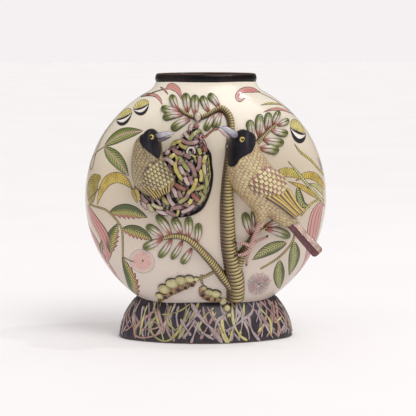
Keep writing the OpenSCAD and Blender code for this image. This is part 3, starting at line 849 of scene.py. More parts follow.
def covert_paint(name, fill, root, edge):
    """Wing feathers that are modelled one by one: pale, shaded at the root, dark-edged."""
    r = start(name)
    own = r.mix(r.slope(r.value("share"), 0.3, 0.62), root, fill)
    inside = r.less(r.value("half"), r.size(r.value("across")))
    side_line = r.fade(inside, 0.25, 0.7)
    tip_line = r.slope(r.value("share"), 0.89, 0.96)
    line = r.math("MAXIMUM", side_line, tip_line)
    spine = r.times(r.midline(0.1, 0.4), 0.35)
    spined = r.mix(spine, own, root)
    colour = r.mix(r.times(line, 0.9), spined, edge)
    return glazed(name, colour, r.noise(250.0, 2.0), r, rough=0.32, coat=0.25, depth=0.03)


def quill_paint():
    """Flight feathers: ochre at one edge, pale beside it, grey-violet at the other."""
    r = start("quill paint")
    lean = r.lean(0.05)
    ground = r.ramp(r.math("MULTIPLY_ADD", lean, 0.5, 0.5), [(0.0, shade(196, 160, 66)),
        (0.2, shade(222, 204, 120)),
        (0.52, shade(214, 186, 92)),
        (0.62, shade(120, 98, 96)),
        (1.0, shade(60, 48, 58))])
    own = r.mix(1.0, ground, r.tint(), "MULTIPLY")
    hatched = r.effect(HATCH, Colour=own, Ink=shade(70, 54, 46), Spacing=1.2, Slant=0.7,
        Amount=0.25)["Colour"]
    colour = r.effect(OUTLINE, Colour=hatched, Ink=shade(44, 34, 44), Line=0.8)["Colour"]
    return glazed("quill paint", colour, r.noise(240.0, 2.0), r, rough=0.3, depth=0.03)


def hood_black():
    r = start("hood black")
    fine = r.noise(420.0, 3.0)
    base = r.mix(r.slope(r.noise(46.0, 3.0), 0.35, 0.7), shade(20, 16, 24), shade(38, 33, 43))
    # Bluish grey on the sharp ridges is a painted highlight.
    wear_and_sheen = r.effect(EDGE_WEAR_AND_SHEEN, Start=0.52, Full=0.6)["Wear and sheen"]
    colour = r.mix(r.times(wear_and_sheen, 0.4), base, shade(88, 80, 96))
    return glazed("hood black", colour, fine, r, rough=0.5, coat=0.05, depth=0.05, gloss=0.25)


def eye_glaze():
    r = start("eye glaze")
    colour = r.ramp(r.value("share"), [(0.0, shade(12, 10, 14)), (0.14, shade(12, 10, 14)),
        (0.18, shade(214, 190, 84)), (0.38, shade(198, 160, 52)),
        (0.44, shade(22, 18, 20)), (1.0, shade(22, 18, 20))])
    return glazed("eye glaze", colour, r.noise(300.0, 1.0), r, rough=0.1, coat=0.8, depth=0.01)


def bill_horn():
    r = start("bill grey")
    streak = r.streaks(2.4, 0.3)
    base = r.mix(1.0, r.mix(r.slope(streak, 0.35, 0.7), shade(206, 202, 210), shade(126, 120, 134)),
        r.tint(), "MULTIPLY")
    root = r.slope(r.value("share"), 0.0, 0.35, 0.55, 0.0)
    tipped = r.mix(root, base, shade(60, 54, 64))
    colour = r.effect(OUTLINE, Colour=tipped, Ink=shade(52, 46, 54), Line=0.5)["Colour"]
    return glazed("bill grey", colour, streak, r, rough=0.22, coat=0.5, depth=0.04)


def shank_scale(name, fill, line):
    r = start(name)
    run = r.plus(r.over(r.value("along"), scale_gap), r.times(r.noise(150.0, 2.0), 0.3))
    gap = r.size(r.less(r.math("FRACT", run), 0.5))
    ring = r.slope(gap, 0.25, 0.38)
    clouded = r.effect(MOTTLE, Colour=fill, Cloud=line, Scale=150.0, Amount=0.3)
    colour = r.mix(r.times(ring, 0.95), clouded["Colour"], line)
    return glazed(name, colour, clouded["Ripple"], r, rough=0.34, depth=0.06)


def puff_down():
    """A soft round puff: stippled pink with a scalloped grey rim."""
    r = start("puff down")
    dot = r.fade(r.cells(520.0), 0.2, 0.5)
    middle = r.slope(r.value("share"), 0.5, 1.0)
    ground = r.mix(middle, shade(208, 168, 158), shade(206, 190, 180))
    dotted = r.mix(r.times(dot, r.slope(r.noise(130.0), 0.4, 0.6, 0.2, 0.9)), ground, shade(184, 122,
        116))
    colour = r.mix(r.slope(r.value("share"), 0.93, 1.0, 0.0, 0.8), dotted, shade(150, 140, 142))
    return glazed("puff down", colour, r.noise(200.0), r, rough=0.34, depth=0.02)


# How far apart the bark's rings and the leg's scales are
ring_gap = 5.7
scale_gap = 2.5
CREAM = cream_body()
RIM = black_rim()
GROUND = root_ground()
BARK = bark()
LEAFLET = leaflet_paint()
STRIP = tinted("woven strip paint", line=1.25, ink=shade(28, 17, 20), hatch=0.35, spacing=1.3, slant=0.3,
    cloud=0.5, edge_fade=0.7, rough=0.26)
STRAND = tinted("root strand paint", line=0.6, ink=shade(34, 28, 34), hatch=0.16, spacing=1.2, cloud=0.4,
    edge_fade=0.35, rough=0.4, coat=0.15)
WASH = tinted("yellow wash", line=0.95, ink=shade(70, 54, 40), hatch=0.6, spacing=3.0, slant=0.4, cloud=0.5)
FLAT = tinted("flat brush paint", line=0.0, cloud=0.2)
STEM = tinted("banded stem paint", line=0.7, ink=shade(56, 42, 38), hatch=0.8, spacing=2.9, slant=0.0)
PETAL = banded_petal()
GREEN = green_leaf("painted leaf", shade(92, 103, 48), shade(188, 184, 122), None, False)
RIBBED = green_leaf("ribbed leaf", shade(118, 130, 56), shade(184, 184, 112), shade(190, 162, 158), False)
TOOTHED = green_leaf("toothed leaf", shade(86, 96, 46), shade(184, 178, 98), None, True)
PUFF = puff_down()
QUILL = quill_paint()
HOOD = hood_black()
EYE = eye_glaze()
BILL = bill_horn()
SHANK = shank_scale("pink shank", shade(214, 172, 160), shade(98, 52, 56))
CLAW = tinted("claw black", line=0.0, cloud=0.4)
BEAD = tinted("pod bead paint", line=1.0, ink=shade(52, 46, 28), cloud=0.5, edge_fade=0.6)
HUSK = tinted("pod husk paint", line=0.9, ink=shade(52, 30, 26), hatch=0.4, spacing=2.6, cloud=0.6)
# In each plumage the colour given as tip is painted shade where a feather tucks under the row above.
OLIVE_PLUMAGE = plumage("olive plumage", shade(188, 177, 132), shade(150, 132, 94), shade(98, 74, 70),
    6.4, 0.95)
ROSY_PLUMAGE = plumage("rosy plumage", shade(216, 208, 152), shade(190, 172, 126), shade(146, 90, 96),
    6.8, 0.95)
OLIVE_COVERT = covert_paint("olive covert", shade(200, 188, 134), shade(120, 98, 84), shade(40, 28, 36))
ROSY_COVERT = covert_paint("rosy covert", shade(222, 210, 156), shade(168, 120, 112), shade(64, 38, 50))


# ---- vessel -------------------------------------------------------------------------

WALL_COLUMNS = 240


def wall_rings(level, low, high, rows):
    """Level rings of the vase's wall, set in from its outside by -level."""
    turn = np.linspace(0, 2 * math.pi, WALL_COLUMNS, endpoint=False)
    angle = np.arctan2(np.sin(turn) * 0.5, np.cos(turn))
    tilt = np.linspace(0.02, 1, rows)
    start_angle = math.acos((body_z - low) / body_r)
    end_angle = math.acos((body_z - high) / body_r)
    z = body_z - body_r * np.cos(start_angle + (end_angle - start_angle) * tilt)
    z = np.sort(z)[:, None]
    near, far = np.zeros((rows, WALL_COLUMNS)), np.full((rows, WALL_COLUMNS), body_r + 5)
    for _ in range(34):
        middle = (near + far) / 2
        inside = vase_gap(middle * np.cos(angle), middle * np.sin(angle), z) < level
        near, far = np.where(inside, middle, near), np.where(inside, far, middle)
    return np.stack([near * np.cos(angle), near * np.sin(angle), z + 0 * near], -1)


def vase_wall():
    outer = wall_rings(0.0, dish_low[2] + 0.15, neck_top, 170)
    inner = wall_rings(-wall, dish_low[2] + wall + 0.3, neck_top, 90)
    clay = Clay()
    clay.tube(np.concatenate([outer, inner[::-1]]))
    return clay


def ring_form(clay, profile, oval, columns, flare=None, **values):
    """Sweeps a closed outline of (out, z) points round an oval."""
    s = np.linspace(-2 * oval.quarter, 2 * oval.quarter, columns, endpoint=False)
    profile = np.asarray(profile, float)
    out, z = profile[:, 0], profile[:, 1]
    if flare is not None:
        out = out + flare(z)
    x, y = round_oval(oval, s[:, None], out[None, :])
    rings = np.stack([x, y, np.broadcast_to(z, x.shape)], -1)
    rows, sides = rings.shape[:2]
    faces = grid_faces(rows, sides, True)
    last = np.arange(sides) + (rows - 1) * sides
    joint = np.stack([last, np.roll(last, -1), np.roll(np.arange(sides), -1), np.arange(sides)], -1)
    clay.faces.extend((np.concatenate([faces, joint]) + clay.count).tolist())
    clay.points.append(rings.reshape(-1, 3))
    clay.tints.append(np.ones((rows * sides, 3)))
    for key in VALUES:
        value = np.broadcast_to(np.asarray(values.get(key, 0.0), float), (rows, sides))
        clay.values[key].append(value.reshape(-1))
    clay.count += rows * sides


def mouth_rim():
    low, top = top_z - rim_band_h, top_z
    rows = curve([(0.1, low), (0.6, low + 1.4), (rim_proud * 0.86, low + 3.6), (rim_proud, low + 5.6),
        (rim_proud * 0.8, low + 7.6), (0.2, top - 1.3), (-1.8, top), (-5.2, top),
        (-7.6, top - 1.6), (-8.5, top - 5), (-8.2, top - 8), (-7.3, top - 11)], 0.8)
    inside = np.array([(-5.0, top - 11), (-2.5, low + 1)])
    profile = np.vstack([rows, inside])
    height = (profile[:, 1] - low) / (top - low)
    clay = Clay()
    ring_form(clay, profile, neck_oval, 260, share=np.clip(height * 0.5, 0, 1) + (profile[:, 0] < 0) * 0.02)
    return clay


def foot_skirt():
    rows = curve([(-7.0, 0.0), (-2.6, 0.0), (-0.6, 0.7), (0.0, 2.6), (0.0, 12), (0.0, 30), (0.0, 44),
        (0.0, foot_top)], 1.2)
    rows[:, 1] = np.maximum(rows[:, 1], 0.0)
    inner = np.array([(-foot_wall, 46), (-foot_wall, 34), (-foot_wall, 20), (-foot_wall, 8),
        (-foot_wall, 2)])
    profile = np.vstack([rows, inner])
    clay = Clay()
    ring_form(clay, profile, foot_oval, 300, flare=foot_flare,
        across=np.where(profile[:, 0] > -foot_wall + 0.5, profile[:, 1], 0.0))
    return clay


def strand(clay, rows, tint, half, lift):
    """One painted root on the foot, from (distance round, height) points."""
    rows = curve(rows, 1.4)
    t = along_share(len(rows))
    width = half * (0.85 + 0.25 * np.sin(t * 9 + rows[0, 0]))
    width *= np.clip(np.minimum(t, 1 - t) * 9 + 0.45, 0, 1)
    low = np.clip(rows[:, 1], 1.2, foot_top)
    sweep(clay, np.column_stack([rows[:, 0], low]), width, 0.32, lift=lift, sunk=0.5 + lift, sides=7,
        blunt=0.35, lay=on_foot, tint=tint)


MAUVE = shade(176, 158, 158)
BLUSH = shade(182, 144, 136)
LEMON = shade(206, 198, 134)
MOSS = shade(170, 166, 104)
CHALK = shade(196, 180, 172)

# Roots on the front of the foot that stand out: their paint, half width and (x, z) points
FRONT_ROOTS = [
    (MOSS, 2.2, [(-26, 47), (-40, 16), (-55, 3), (-71, 9), (-77, 22), (-71, 33)]),
    (MOSS, 1.3, [(-26, 50), (-43, 40), (-64, 36)]),
    (MOSS, 2.0, [(-53, 48), (-55, 29), (-43, 17)]),
    (BLUSH, 2.1, [(-73, 42), (-93, 22), (-96, 9), (-86, 5), (-71, 9), (-61, 16), (-62, 24), (-68, 37),
    (-73, 50)]),
    (BLUSH, 1.3, [(-81, 32), (-66, 22), (-76, 17), (-91, 18)]),
    (MAUVE, 3.0, [(-25, 51), (-7, 30), (5, 19), (18, 1)]),
    (MAUVE, 2.2, [(-38, 32), (-23, 11)]),
    (MAUVE, 2.0, [(-18, 30), (-33, 7)]),
    (MAUVE, 2.0, [(-13, 29), (-23, 1)]),
    (MAUVE, 1.8, [(-30, 22), (-20, 33), (-10, 43)]),
    (LEMON, 2.2, [(15, 22), (23, 1)]),
    (LEMON, 2.4, [(18, 35), (20, 19), (26, 1)]),
    (LEMON, 1.4, [(5, 43), (11, 30)]),
    (LEMON, 2.4, [(36, 50), (34, 29), (40, 12), (51, 3)]),
    (MAUVE, 2.2, [(71, 53), (61, 37), (46, 29), (23, 16)]),
    (MAUVE, 2.4, [(56, 35), (58, 16), (68, 1)]),
    (LEMON, 2.2, [(75, 42), (85, 25), (83, 6)]),
    (BLUSH, 2.2, [(80, 50), (93, 29), (98, 6)]),
    (BLUSH, 2.0, [(90, 53), (101, 37), (113, 16)]),
    (MAUVE, 2.2, [(-10, 16), (7, 6)]),
    (MAUVE, 2.4, [(23, 37), (12, 29), (8, 16)]),
    (LEMON, 1.9, [(-87, 46), (-89, 7)]),
    (BLUSH, 1.8, [(-101, 37), (-99, 22), (-109, 11)]),
    (MAUVE, 1.8, [(81, 53), (65, 25)]),
    (BLUSH, 1.6, [(98, 50), (90, 22)]),
    (LEMON, 1.7, [(103, 29), (91, 22)]),
    (LEMON, 1.8, [(75, 22), (65, 12)]),
    (MAUVE, 2.0, [(46, 51), (48, 35), (43, 16)]),
    (MAUVE, 2.0, [(30, 3), (33, 22)]),
    (LEMON, 1.7, [(27, 3), (32, 19)]),
]


# Seeded roots: the fine ones all round, and the bold ones past the front
FINE_ROOTS = 118
BOLD_ROOTS = 46


def foot_strands():
    """Fine roots fill the whole foot, and the bold ones cross over them."""
    pick = random.Random(11)
    fine, bold = Clay(), Clay()
    span = 2 * foot_oval.quarter
    for i in range(FINE_ROOTS):
        s = -span + 2 * span * (i + pick.random()) / FINE_ROOTS
        high = pick.uniform(38, 54)
        low = pick.uniform(1, 16)
        lean = pick.choice((-1, 1)) * pick.uniform(7, 30)
        bend = pick.uniform(-7, 7)
        rows = [(s, high), (s + lean * 0.3 + bend, high * 0.7 + low * 0.3),
            (s + lean * 0.7 + bend, high * 0.3 + low * 0.7), (s + lean, low)]
        tint = pick.choice((MAUVE, MAUVE, BLUSH, BLUSH, LEMON, MAUVE, CHALK))
        strand(fine, rows, np.array(tint) * pick.uniform(0.66, 1.0), pick.uniform(1.6, 2.3),
            0.02 + 0.16 * pick.random())
    turn = 0.02
    for tint, half, rows in FRONT_ROOTS:
        turn += 0.012
        laid = [(foot_oval.side_r * math.asin(max(-0.66, min(0.66, x / foot_oval.side_r))), z)
            for x, z in rows]
        strand(bold, laid, tint, half, 0.2 + turn)
    for i in range(BOLD_ROOTS):
        s = 112 + (2 * span - 224) * (i + pick.random() * 0.6) / BOLD_ROOTS
        lean = pick.choice((-1, 1)) * pick.uniform(8, 34)
        bulge = pick.uniform(-9, 9)
        rows = [(s, pick.uniform(44, 53)), (s + lean * 0.3 + bulge, 34), (s + lean * 0.75, 18),
            (s + lean, pick.uniform(2, 8))]
        strand(bold, rows, pick.choice((MAUVE, BLUSH, LEMON, MOSS, MAUVE)), pick.uniform(1.5, 2.7),
            0.2 + 0.25 * pick.random())
    return fine, bold


# ---- tree ---------------------------------------------------------------------------

# Rows are [x, z, width, height, lift]
TRUNK = [
    [36, 57, 23, 10, 0], [35, 83, 24, 11, 0], [30, 108, 22, 11, 0], [25, 136, 20, 10, 0],
    [23, 180, 18.5, 10, 0], [23, 209, 15, 9, 0], [25, 233, 13, 8, 0], [27, 255, 11, 8, 0],
    [29, 279, 10, 8, 0], [28, 293, 10, 8, 0], [23, 302, 9, 7, 0], [16, 306, 8, 7, 0],
    [8, 303, 7, 6, 0], [1, 299, 6, 6, 0], [-6, 296, 6, 5, 0], [-13, 294, 5.5, 5, 0],
    [-22, 296, 5, 5, 0], [-31, 301, 5, 4, 0], [-37, 306, 4, 3, 0],
]
LEFT_BRANCH = [
    [33, 70, 12, 9, 0], [20, 86, 12, 8, 0], [4, 108, 11, 8, 0], [-19, 133, 9, 7, 0],
    [-33, 142, 8, 6, 0], [-47, 143, 7, 5, 0], [-58, 140, 5, 4, 0],
]
RIGHT_BRANCH = [
    [36, 96, 13, 9, 0], [42, 116, 12, 9, 0], [48, 128, 9, 8, 0], [55, 139, 7, 6, 0],
    [63, 149, 6, 5, 0], [74, 154, 4, 4, 0],
]
UPPER_BRANCH = [[57, 256, 7, 5, 0], [65, 265, 7, 5, 0], [72, 272, 6, 5, 0], [81, 280, 5, 5, 0], [89, 285,
    4, 3, 0]]


def ringed(along, c):
    """Each ring swells between two cut lines, which sag at the sides."""
    phase = ((along - 1.7 * np.abs(c) ** 2) / ring_gap) % 1.0
    return 1.0 + 0.055 * np.sin(math.pi * phase) ** 0.6 - 0.03


def stem(rows, spacing=0.55, sides=23):
    """A rolled stem. Its rings lie closer together where it is thin."""
    rows = curve(rows, spacing)
    clay = Clay()
    pace = ring_gap / (2.0 + 0.12 * rows[:, 2])
    sweep(clay, rows[:, :2], rows[:, 2] / 2, rows[:, 3], rows[:, 4], sides=sides, swell=ringed, pace=pace)
    return clay


def knot():
    clay = Clay()
    rows = curve([[-13, 300, 4, 3, 4], [-13.3, 297.5, 9, 6, 4], [-13.6, 293, 10, 6, 4], [-14, 289, 5, 3,
        4]], 0.8)
    sweep(clay, rows[:, :2], rows[:, 2] / 2, rows[:, 3], rows[:, 4], sunk=4, sides=15,
        tint=shade(226, 208, 190))
    return clay


# Each row is [root x, root z, tip x, tip z, width]
ARCH_LEAFLETS = [
    [13, 310, 1, 324, 9], [0, 305, -7, 322, 9], [-16, 301, -16, 323, 10], [-27, 305, -29, 325, 10],
    [5, 296, -4, 279, 9], [15, 298, 8, 280, 9],
]
TWIG_LEAFLETS = [
    [-40, 308, -46, 323, 9], [-41, 304, -60, 307, 9], [-36, 298, -58, 294, 9], [-27, 291, -47, 280, 10],
]
UPPER_LEAFLETS = [
    [56, 271, 53, 291, 10], [66, 273, 67, 298, 10], [76, 281, 79, 300, 9], [86, 287, 93, 301, 8],
    [94, 285, 106, 289, 8], [85, 278, 104, 273, 9], [75, 266, 98, 262, 10], [69, 255, 91, 251, 11],
]
LEFT_LEAFLETS = [
    [-62, 143, -80, 156, 10], [-51, 147, -67, 170, 10], [-37, 149, -46, 167, 10],
    [-27, 145, -27, 168, 10], [-16, 137, -14, 160, 9], [-63, 137, -84, 126, 10],
    [-50, 137, -64, 115, 9], [-36, 134, -48, 113, 8], [-24, 124, -35, 107, 9],
]
RIGHT_LEAFLETS = [
    [53, 148, 46, 173, 10], [60, 157, 57, 176, 6], [77, 156, 101, 161, 9], [77, 150, 106, 139, 11],
]
leaflet_h = 4.4


def leaflets(rows, seed):
    """Rounded clay paddles with a pressed midline, each a little different."""
    pick = random.Random(seed)
    clay = Clay()
    for x0, z0, x1, z1, width in rows:
        a, b = np.array([x0, z0], float), np.array([x1, z1], float)
        a, b = a - (b - a) / np.linalg.norm(b - a) * 3.6, b + (b - a) * 0.04
        route = curve(bowed(a, b, pick.uniform(-0.06, 0.06)), 0.7)
        t = along_share(len(route))
        paddle = 0.34 + 0.66 * np.sin(np.clip(t / 0.62, 0, 1) * math.pi / 2)
        tip = np.sqrt(np.clip(1 - np.clip((t - 0.72) / 0.28, 0, 1) ** 2.2, 0.0004, 1))
        share = paddle * tip
        dome = (0.4 + 0.6 * np.clip(t / 0.5, 0, 1)) * tip ** 0.8
        sweep(clay, route, width * 0.56 * share, leaflet_h * dome, 0.1, sunk=1.0, sides=17, blunt=0.85,
            swell=lambda along, c: 1 - 0.1 * np.exp(-(c / 0.16) ** 2) * (along > 1.5))
    return clay


# ---- nest ---------------------------------------------------------------------------

# The cup's sections from the bottom up: [height, middle, width, thickness]
NEST = np.array([
    [171, -44, 34, 3], [179, -47, 72, 8], [190, -49, 90, 11], [205, -49, 100, 13], [222, -47, 101, 13],
    [237, -41, 86, 12], [249, -30, 62, 10], [259, -26, 42, 8], [269, -22, 27, 6], [280, -18, 14, 4],
], float)


def nest_at(z):
    return [np.interp(z, NEST[:, 0], NEST[:, k]) for k in (1, 2, 3)]


def nest_lift(x, z):
    middle, wide, thick = nest_at(z)
    return thick * np.sqrt(np.maximum(0, 1 - (2 * (x - middle) / wide) ** 2))


def nest_hollow():
    rows = curve(NEST[:, [1, 0, 2, 3]], 2.0)
    clay = Clay()
    left = np.maximum(rows[:, 2] / 2 - 3.5, 1)
    sweep(clay, rows[:, :2], left, rows[:, 3], sides=31, upright=True, right=rows[:, 2] / 2 + 1)
    return clay


def nest_roll():
    """The dark rolled edge round the cup's right side and bottom."""
    clay = Clay()
    edge = [(s[1] + s[2] / 2 + 0.6, s[0]) for s in NEST[1:9]]
    rows = curve([(-44, 168.5), (-24, 171.5), *edge], 1.2)
    t = along_share(len(rows))
    sweep(clay, rows, 1.5 * np.clip(np.minimum(t, 1 - t) * 12 + 0.3, 0, 1), 3.6, 0.1, sides=13,
        tint=shade(30, 22, 28))
    return clay


DUSTY = shade(176, 136, 132)
PALE = shade(222, 196, 190)
BRICK = shade(172, 104, 86)
STRAW = shade(214, 202, 112)
OLIVE = shade(182, 174, 112)
LEAFY = shade(172, 176, 104)
CORN = shade(222, 212, 162)

# Strips that show on top of the weave: their paint and (x, z) points
TOP_STRIPS = [
    (LEAFY, [(-10, 279), (-25, 264)]), (PALE, [(-21, 285), (-23, 277)]), (BRICK, [(-14, 285), (-17, 280)]),
    (PALE, [(-31, 276), (-24, 267)]), (DUSTY, [(-35, 267), (-29, 262), (-20, 261), (-12, 265)]),
    (STRAW, [(-46, 257), (-42, 262), (-34, 263)]), (STRAW, [(-37, 260), (-26, 254)]),
    (PALE, [(-53, 246), (-50, 253)]), (DUSTY, [(-46, 255), (-33, 247)]), (STRAW, [(-49, 241), (-41, 247)]),
    (DUSTY, [(-19, 258), (-18, 248)]), (STRAW, [(-13, 255), (-10, 247)]), (LEAFY, [(-38, 245), (-26, 228)]),
    (PALE, [(-54, 242), (-43, 234)]), (STRAW, [(-42, 238), (-40, 227), (-33, 216)]),
    (DUSTY, [(-31, 247), (-23, 243)]), (DUSTY, [(-26, 238), (-20, 228), (-13, 232), (-12, 246)]),
    (PALE, [(-36, 233), (-31, 223)]), (STRAW, [(-3, 247), (-7, 236)]), (STRAW, [(-12, 229), (-11, 214)]),
    (DUSTY, [(-24, 237), (-17, 220)]), (BRICK, [(-44, 212), (-29, 204)]), (PALE, [(-46, 207), (-40, 195)]),
    (PALE, [(-51, 200), (-42, 183)]), (STRAW, [(-57, 196), (-50, 186)]), (DUSTY, [(-38, 204), (-33, 194)]),
    (OLIVE, [(-38, 188), (-27, 195)]), (STRAW, [(-27, 186), (-22, 193)]),
    (STRAW, [(-27, 200), (-20, 206), (-16, 218)]), (DUSTY, [(-47, 181), (-34, 183)]),
    (DUSTY, [(-32, 187), (-23, 183)]), (PALE, [(-35, 176), (-19, 185)]), (CORN, [(-71, 187), (-57, 181)]),
    (CORN, [(-76, 186), (-69, 176)]), (PALE, [(-66, 179), (-51, 173)]), (DUSTY, [(-54, 178), (-42, 171)]),
    (BRICK, [(-22, 200), (-12, 189)]), (OLIVE, [(-20, 205), (-6, 209)]),
    (OLIVE, [(-13, 201), (-8, 195), (-15, 186)]), (LEAFY, [(-6, 196), (-1, 215)]),
    (DUSTY, [(-33, 240), (-38, 234)]), (PALE, [(-30, 220), (-25, 210)]), (DUSTY, [(-24, 221), (-19, 210)]),
    (CORN, [(-7, 236), (-6, 222)]), (BRICK, [(-6, 263), (-4, 251)]), (PALE, [(-11, 274), (-8, 262)]),
    (DUSTY, [(-19, 275), (-12, 268)]), (DUSTY, [(-84, 197), (-76, 187)]), (STRAW, [(-91, 204), (-87, 190)]),
    (PALE, [(-83, 188), (-76, 179)]), (OLIVE, [(-5, 222), (-3, 208)]), (DUSTY, [(-29, 193), (-25, 201)]),
]
CURL = (-22.3, 250.5)


def strip(clay, rows, tint, layer, bulge, half=3.1):
    """One flat rolled strip that comes up out of the weave, arches over and dives back in."""
    rows = curve(rows, 0.7)
    t = along_share(len(rows))
    arch = np.sin(math.pi * np.clip(t, 0, 1)) ** 0.7
    lift = nest_lift(rows[:, 0], rows[:, 1]) + layer + bulge * arch - 1.2
    width = half * (0.82 + 0.18 * np.clip(np.minimum(t, 1 - t) * 8, 0, 1))
    sweep(clay, rows, width, 1.7, lift, sunk=0.2, sides=13, blunt=0.38, tint=tint)


def nest_strips():
    """Strips in three layers: short ones that fill, longer ones between, and those on top."""
    pick = random.Random(5)
    low, middle, top, twist = Clay(), Clay(), Clay(), Clay()
    paints = (DUSTY, PALE, BRICK, STRAW, OLIVE, DUSTY, CORN, DUSTY)
    for row in range(17):
        z = 176 + row * 6.0
        centre, wide, _ = nest_at(z)
        count = max(2, int(wide / 7.5))
        for k in range(count):
            x = centre + wide * 0.88 * ((k + 0.5 + pick.uniform(-0.3, 0.3)) / count - 0.5)
            angle = pick.choice((0.6, 2.3, 1.1, 1.9)) + pick.uniform(-0.3, 0.3)
            reach = pick.uniform(4.5, 7.0)
            a = (x - math.cos(angle) * reach, z - math.sin(angle) * reach)
            b = (x + math.cos(angle) * reach, z + math.sin(angle) * reach)
            if min(a[1], b[1]) < 170 or max(a[1], b[1]) > 281:
                continue
            deep = pick.random() < 0.6
            bow = pick.uniform(-0.2, 0.2)
            # The lower the layer, the dimmer the strip: painted shade beneath the strips that lie over it.
            depth_shade = (0.3, 0.55) if deep else (0.6, 0.88)
            tint = np.array(pick.choice(paints)) * pick.uniform(*depth_shade)
            layer = pick.uniform(*((0.2, 1.0) if deep else (1.2, 2.2)))
            strip(low if deep else middle, bowed(a, b, bow), tint, layer, 1.6, 2.2)
    for i, (tint, rows) in enumerate(TOP_STRIPS):
        points = rows if len(rows) > 2 else bowed(*rows, pick.uniform(-0.1, 0.1))
        strip(twist if i < 6 else top, points, np.array(tint) * pick.uniform(0.82, 0.98),
            2.4 + 0.8 * pick.random(), 2.2)
    turns = np.linspace(-0.6, 1.6 * math.pi, 14)
    curl = [(CURL[0] + 4.6 * math.cos(a), CURL[1] + 4.6 * math.sin(a)) for a in turns]
    strip(top, curl, shade(222, 214, 214), 4.4, 0.8, 1.9)
    for inset, tint in ((2.4, STRAW), (7.5, LEAFY), (4.9, CORN)):
        z = np.linspace(252 - inset * 2, 186 + inset * 2, 9)
        side_run = [(nest_at(h)[0] + nest_at(h)[1] / 2 - inset, h) for h in z]
        strip(middle, side_run, np.array(tint) * 0.8, 1.2 + inset * 0.2, 1.0, 1.6)
    return low, middle, top, twist


def woven_strand():
    """The strand that the right bird draws out of the nest with its bill."""
    clay = Clay()
    stops = [spot(-9, 271, 8), spot(-5, 268, 14), spot(0, 270.5, 24), spot(5, 273, 31), spot(9, 274.5, 34)]
    rod(clay, stops, [1.9, 1.8, 1.6, 1.5, 1.4], squash=0.8, tint=shade(206, 128, 116))
    curl = [spot(-8, 273, 9), spot(-11, 268, 10), spot(-7, 264, 10), spot(-4, 258, 9)]
    rod(clay, curl, [1.7, 1.8, 1.8, 1.5], squash=0.8, tint=shade(196, 150, 142))
    return clay


# ---- birds --------------------------------------------------------------------------

FORM_SPACING = 1.2
LEAST_HALF = 0.2


def laid_rows(clay, rows, sides, spacing=FORM_SPACING, sunk=3.0, tint=(1, 1, 1), girth=False):
    rows = curve(rows, spacing)
    sweep(clay, rows[:, :2], np.maximum(rows[:, 2] / 2, LEAST_HALF), rows[:, 3], rows[:, 4],
        sunk=sunk, sides=sides, tint=tint, girth=girth)


def mound(clay, rows, sides=41, sunk=3.0, blunt=1.0):
    """A rounded form from level sections: [height, left, right, thickness, lift]."""
    rows = np.array(rows, float)
    laid = np.column_stack([(rows[:, 1] + rows[:, 2]) / 2, rows[:, 0], (rows[:, 2] - rows[:, 1]) / 2,
        rows[:, 3:]])
    laid = curve(laid, FORM_SPACING)
    sweep(clay, laid[:, :2], np.maximum(laid[:, 2], LEAST_HALF), laid[:, 3], laid[:, 4], sunk=sunk,
        sides=sides, blunt=blunt, girth=True, upright=True)


LEFT_TORSO = [
    [273, -80, -66, 14, 0], [268, -86, -63, 26, 0], [262, -91, -62, 31, 0], [255, -94, -61, 33, 0],
    [247, -95.5, -60, 34, 0], [240, -96.5, -56, 34.5, 0], [234, -97, -51, 35, 0],
    [228, -97, -47, 35, 0], [221, -97, -43.5, 35, 0], [214, -95.5, -42.5, 33, 0],
    [207, -92.5, -45.5, 30, 0], [202, -87, -49.5, 26, 0], [198, -81, -53, 21, 0],
    [194.5, -73, -58, 15, 0], [192, -68, -62, 9, 0],
]
LEFT_HEAD = [
    [276, -71, -64.5, 16, 4], [273.5, -76, -62, 26, 2], [269, -80.5, -60.5, 33, 0],
    [262, -82, -59.5, 36, 0], [254, -82, -59, 37, 0], [246, -80, -57, 37, 0],
    [238, -78, -53, 36.5, 0], [228, -76, -50, 34, 0],
]
# The mask's outline: [height, left, right]
LEFT_MASK = [
    [277, -70.5, -66], [275, -75.2, -63], [271, -79.4, -61.2], [267, -80.8, -60.4], [262, -80.6, -59.8],
    [257, -79, -59.4], [252, -75.6, -59], [247.5, -70.4, -58.6], [244, -65.4, -58.4],
    [242, -62.5, -58.2], [240.2, -60.4, -58.8],
]
LEFT_WING = [
    [240, -64, -57, 8, 24], [235, -72, -52.5, 14, 23], [228, -77, -47.5, 16, 22],
    [221, -79.5, -43.5, 17, 21], [214, -79, -42, 17, 20], [208, -76.5, -44, 14, 19],
    [203, -70, -50, 9, 18],
]
RIGHT_TORSO = [
    [268, 45, 56, 14, 0], [262, 34, 59.5, 28, 0], [256, 27, 62, 36, 0], [249, 24.5, 65, 38, 0],
    [242, 24, 70.5, 39, 0], [235, 23, 76, 40, 0], [228, 22, 81.5, 41, 0], [221, 23, 87, 41, 0],
    [213, 26, 92.5, 41, 0], [205, 30, 97, 40, 0], [198, 35.5, 101.5, 38, 0], [191, 42, 105, 35, 0],
    [184, 49, 107.5, 31, 0], [178, 53.5, 108, 27, 0], [173, 58, 104, 21, 0], [170, 64, 98, 15, 0],
]
RIGHT_HEAD = [
    [274.5, 34.5, 42.5, 18, 6], [271.5, 30, 49, 30, 3], [267, 25.5, 57.5, 37, 0],
    [260, 22.5, 58.5, 40, 0], [252, 22, 59, 41.5, 0], [244, 22.5, 60.5, 42, 0],
    [236, 23.5, 61.5, 41.5, 0], [226, 25, 64, 38, 0],
]
RIGHT_MASK = [
    [275.5, 36, 40], [273, 31, 45.4], [270.6, 28.4, 50], [268, 25.4, 55], [265.6, 23.2, 56.6],
    [260, 21.6, 54], [252, 21.6, 50], [246, 22, 46], [243.4, 22.3, 41.2], [241, 22.6, 36.6],
    [238, 23, 32.6], [234, 23.6, 30.6], [231.4, 24.8, 28.2],
]
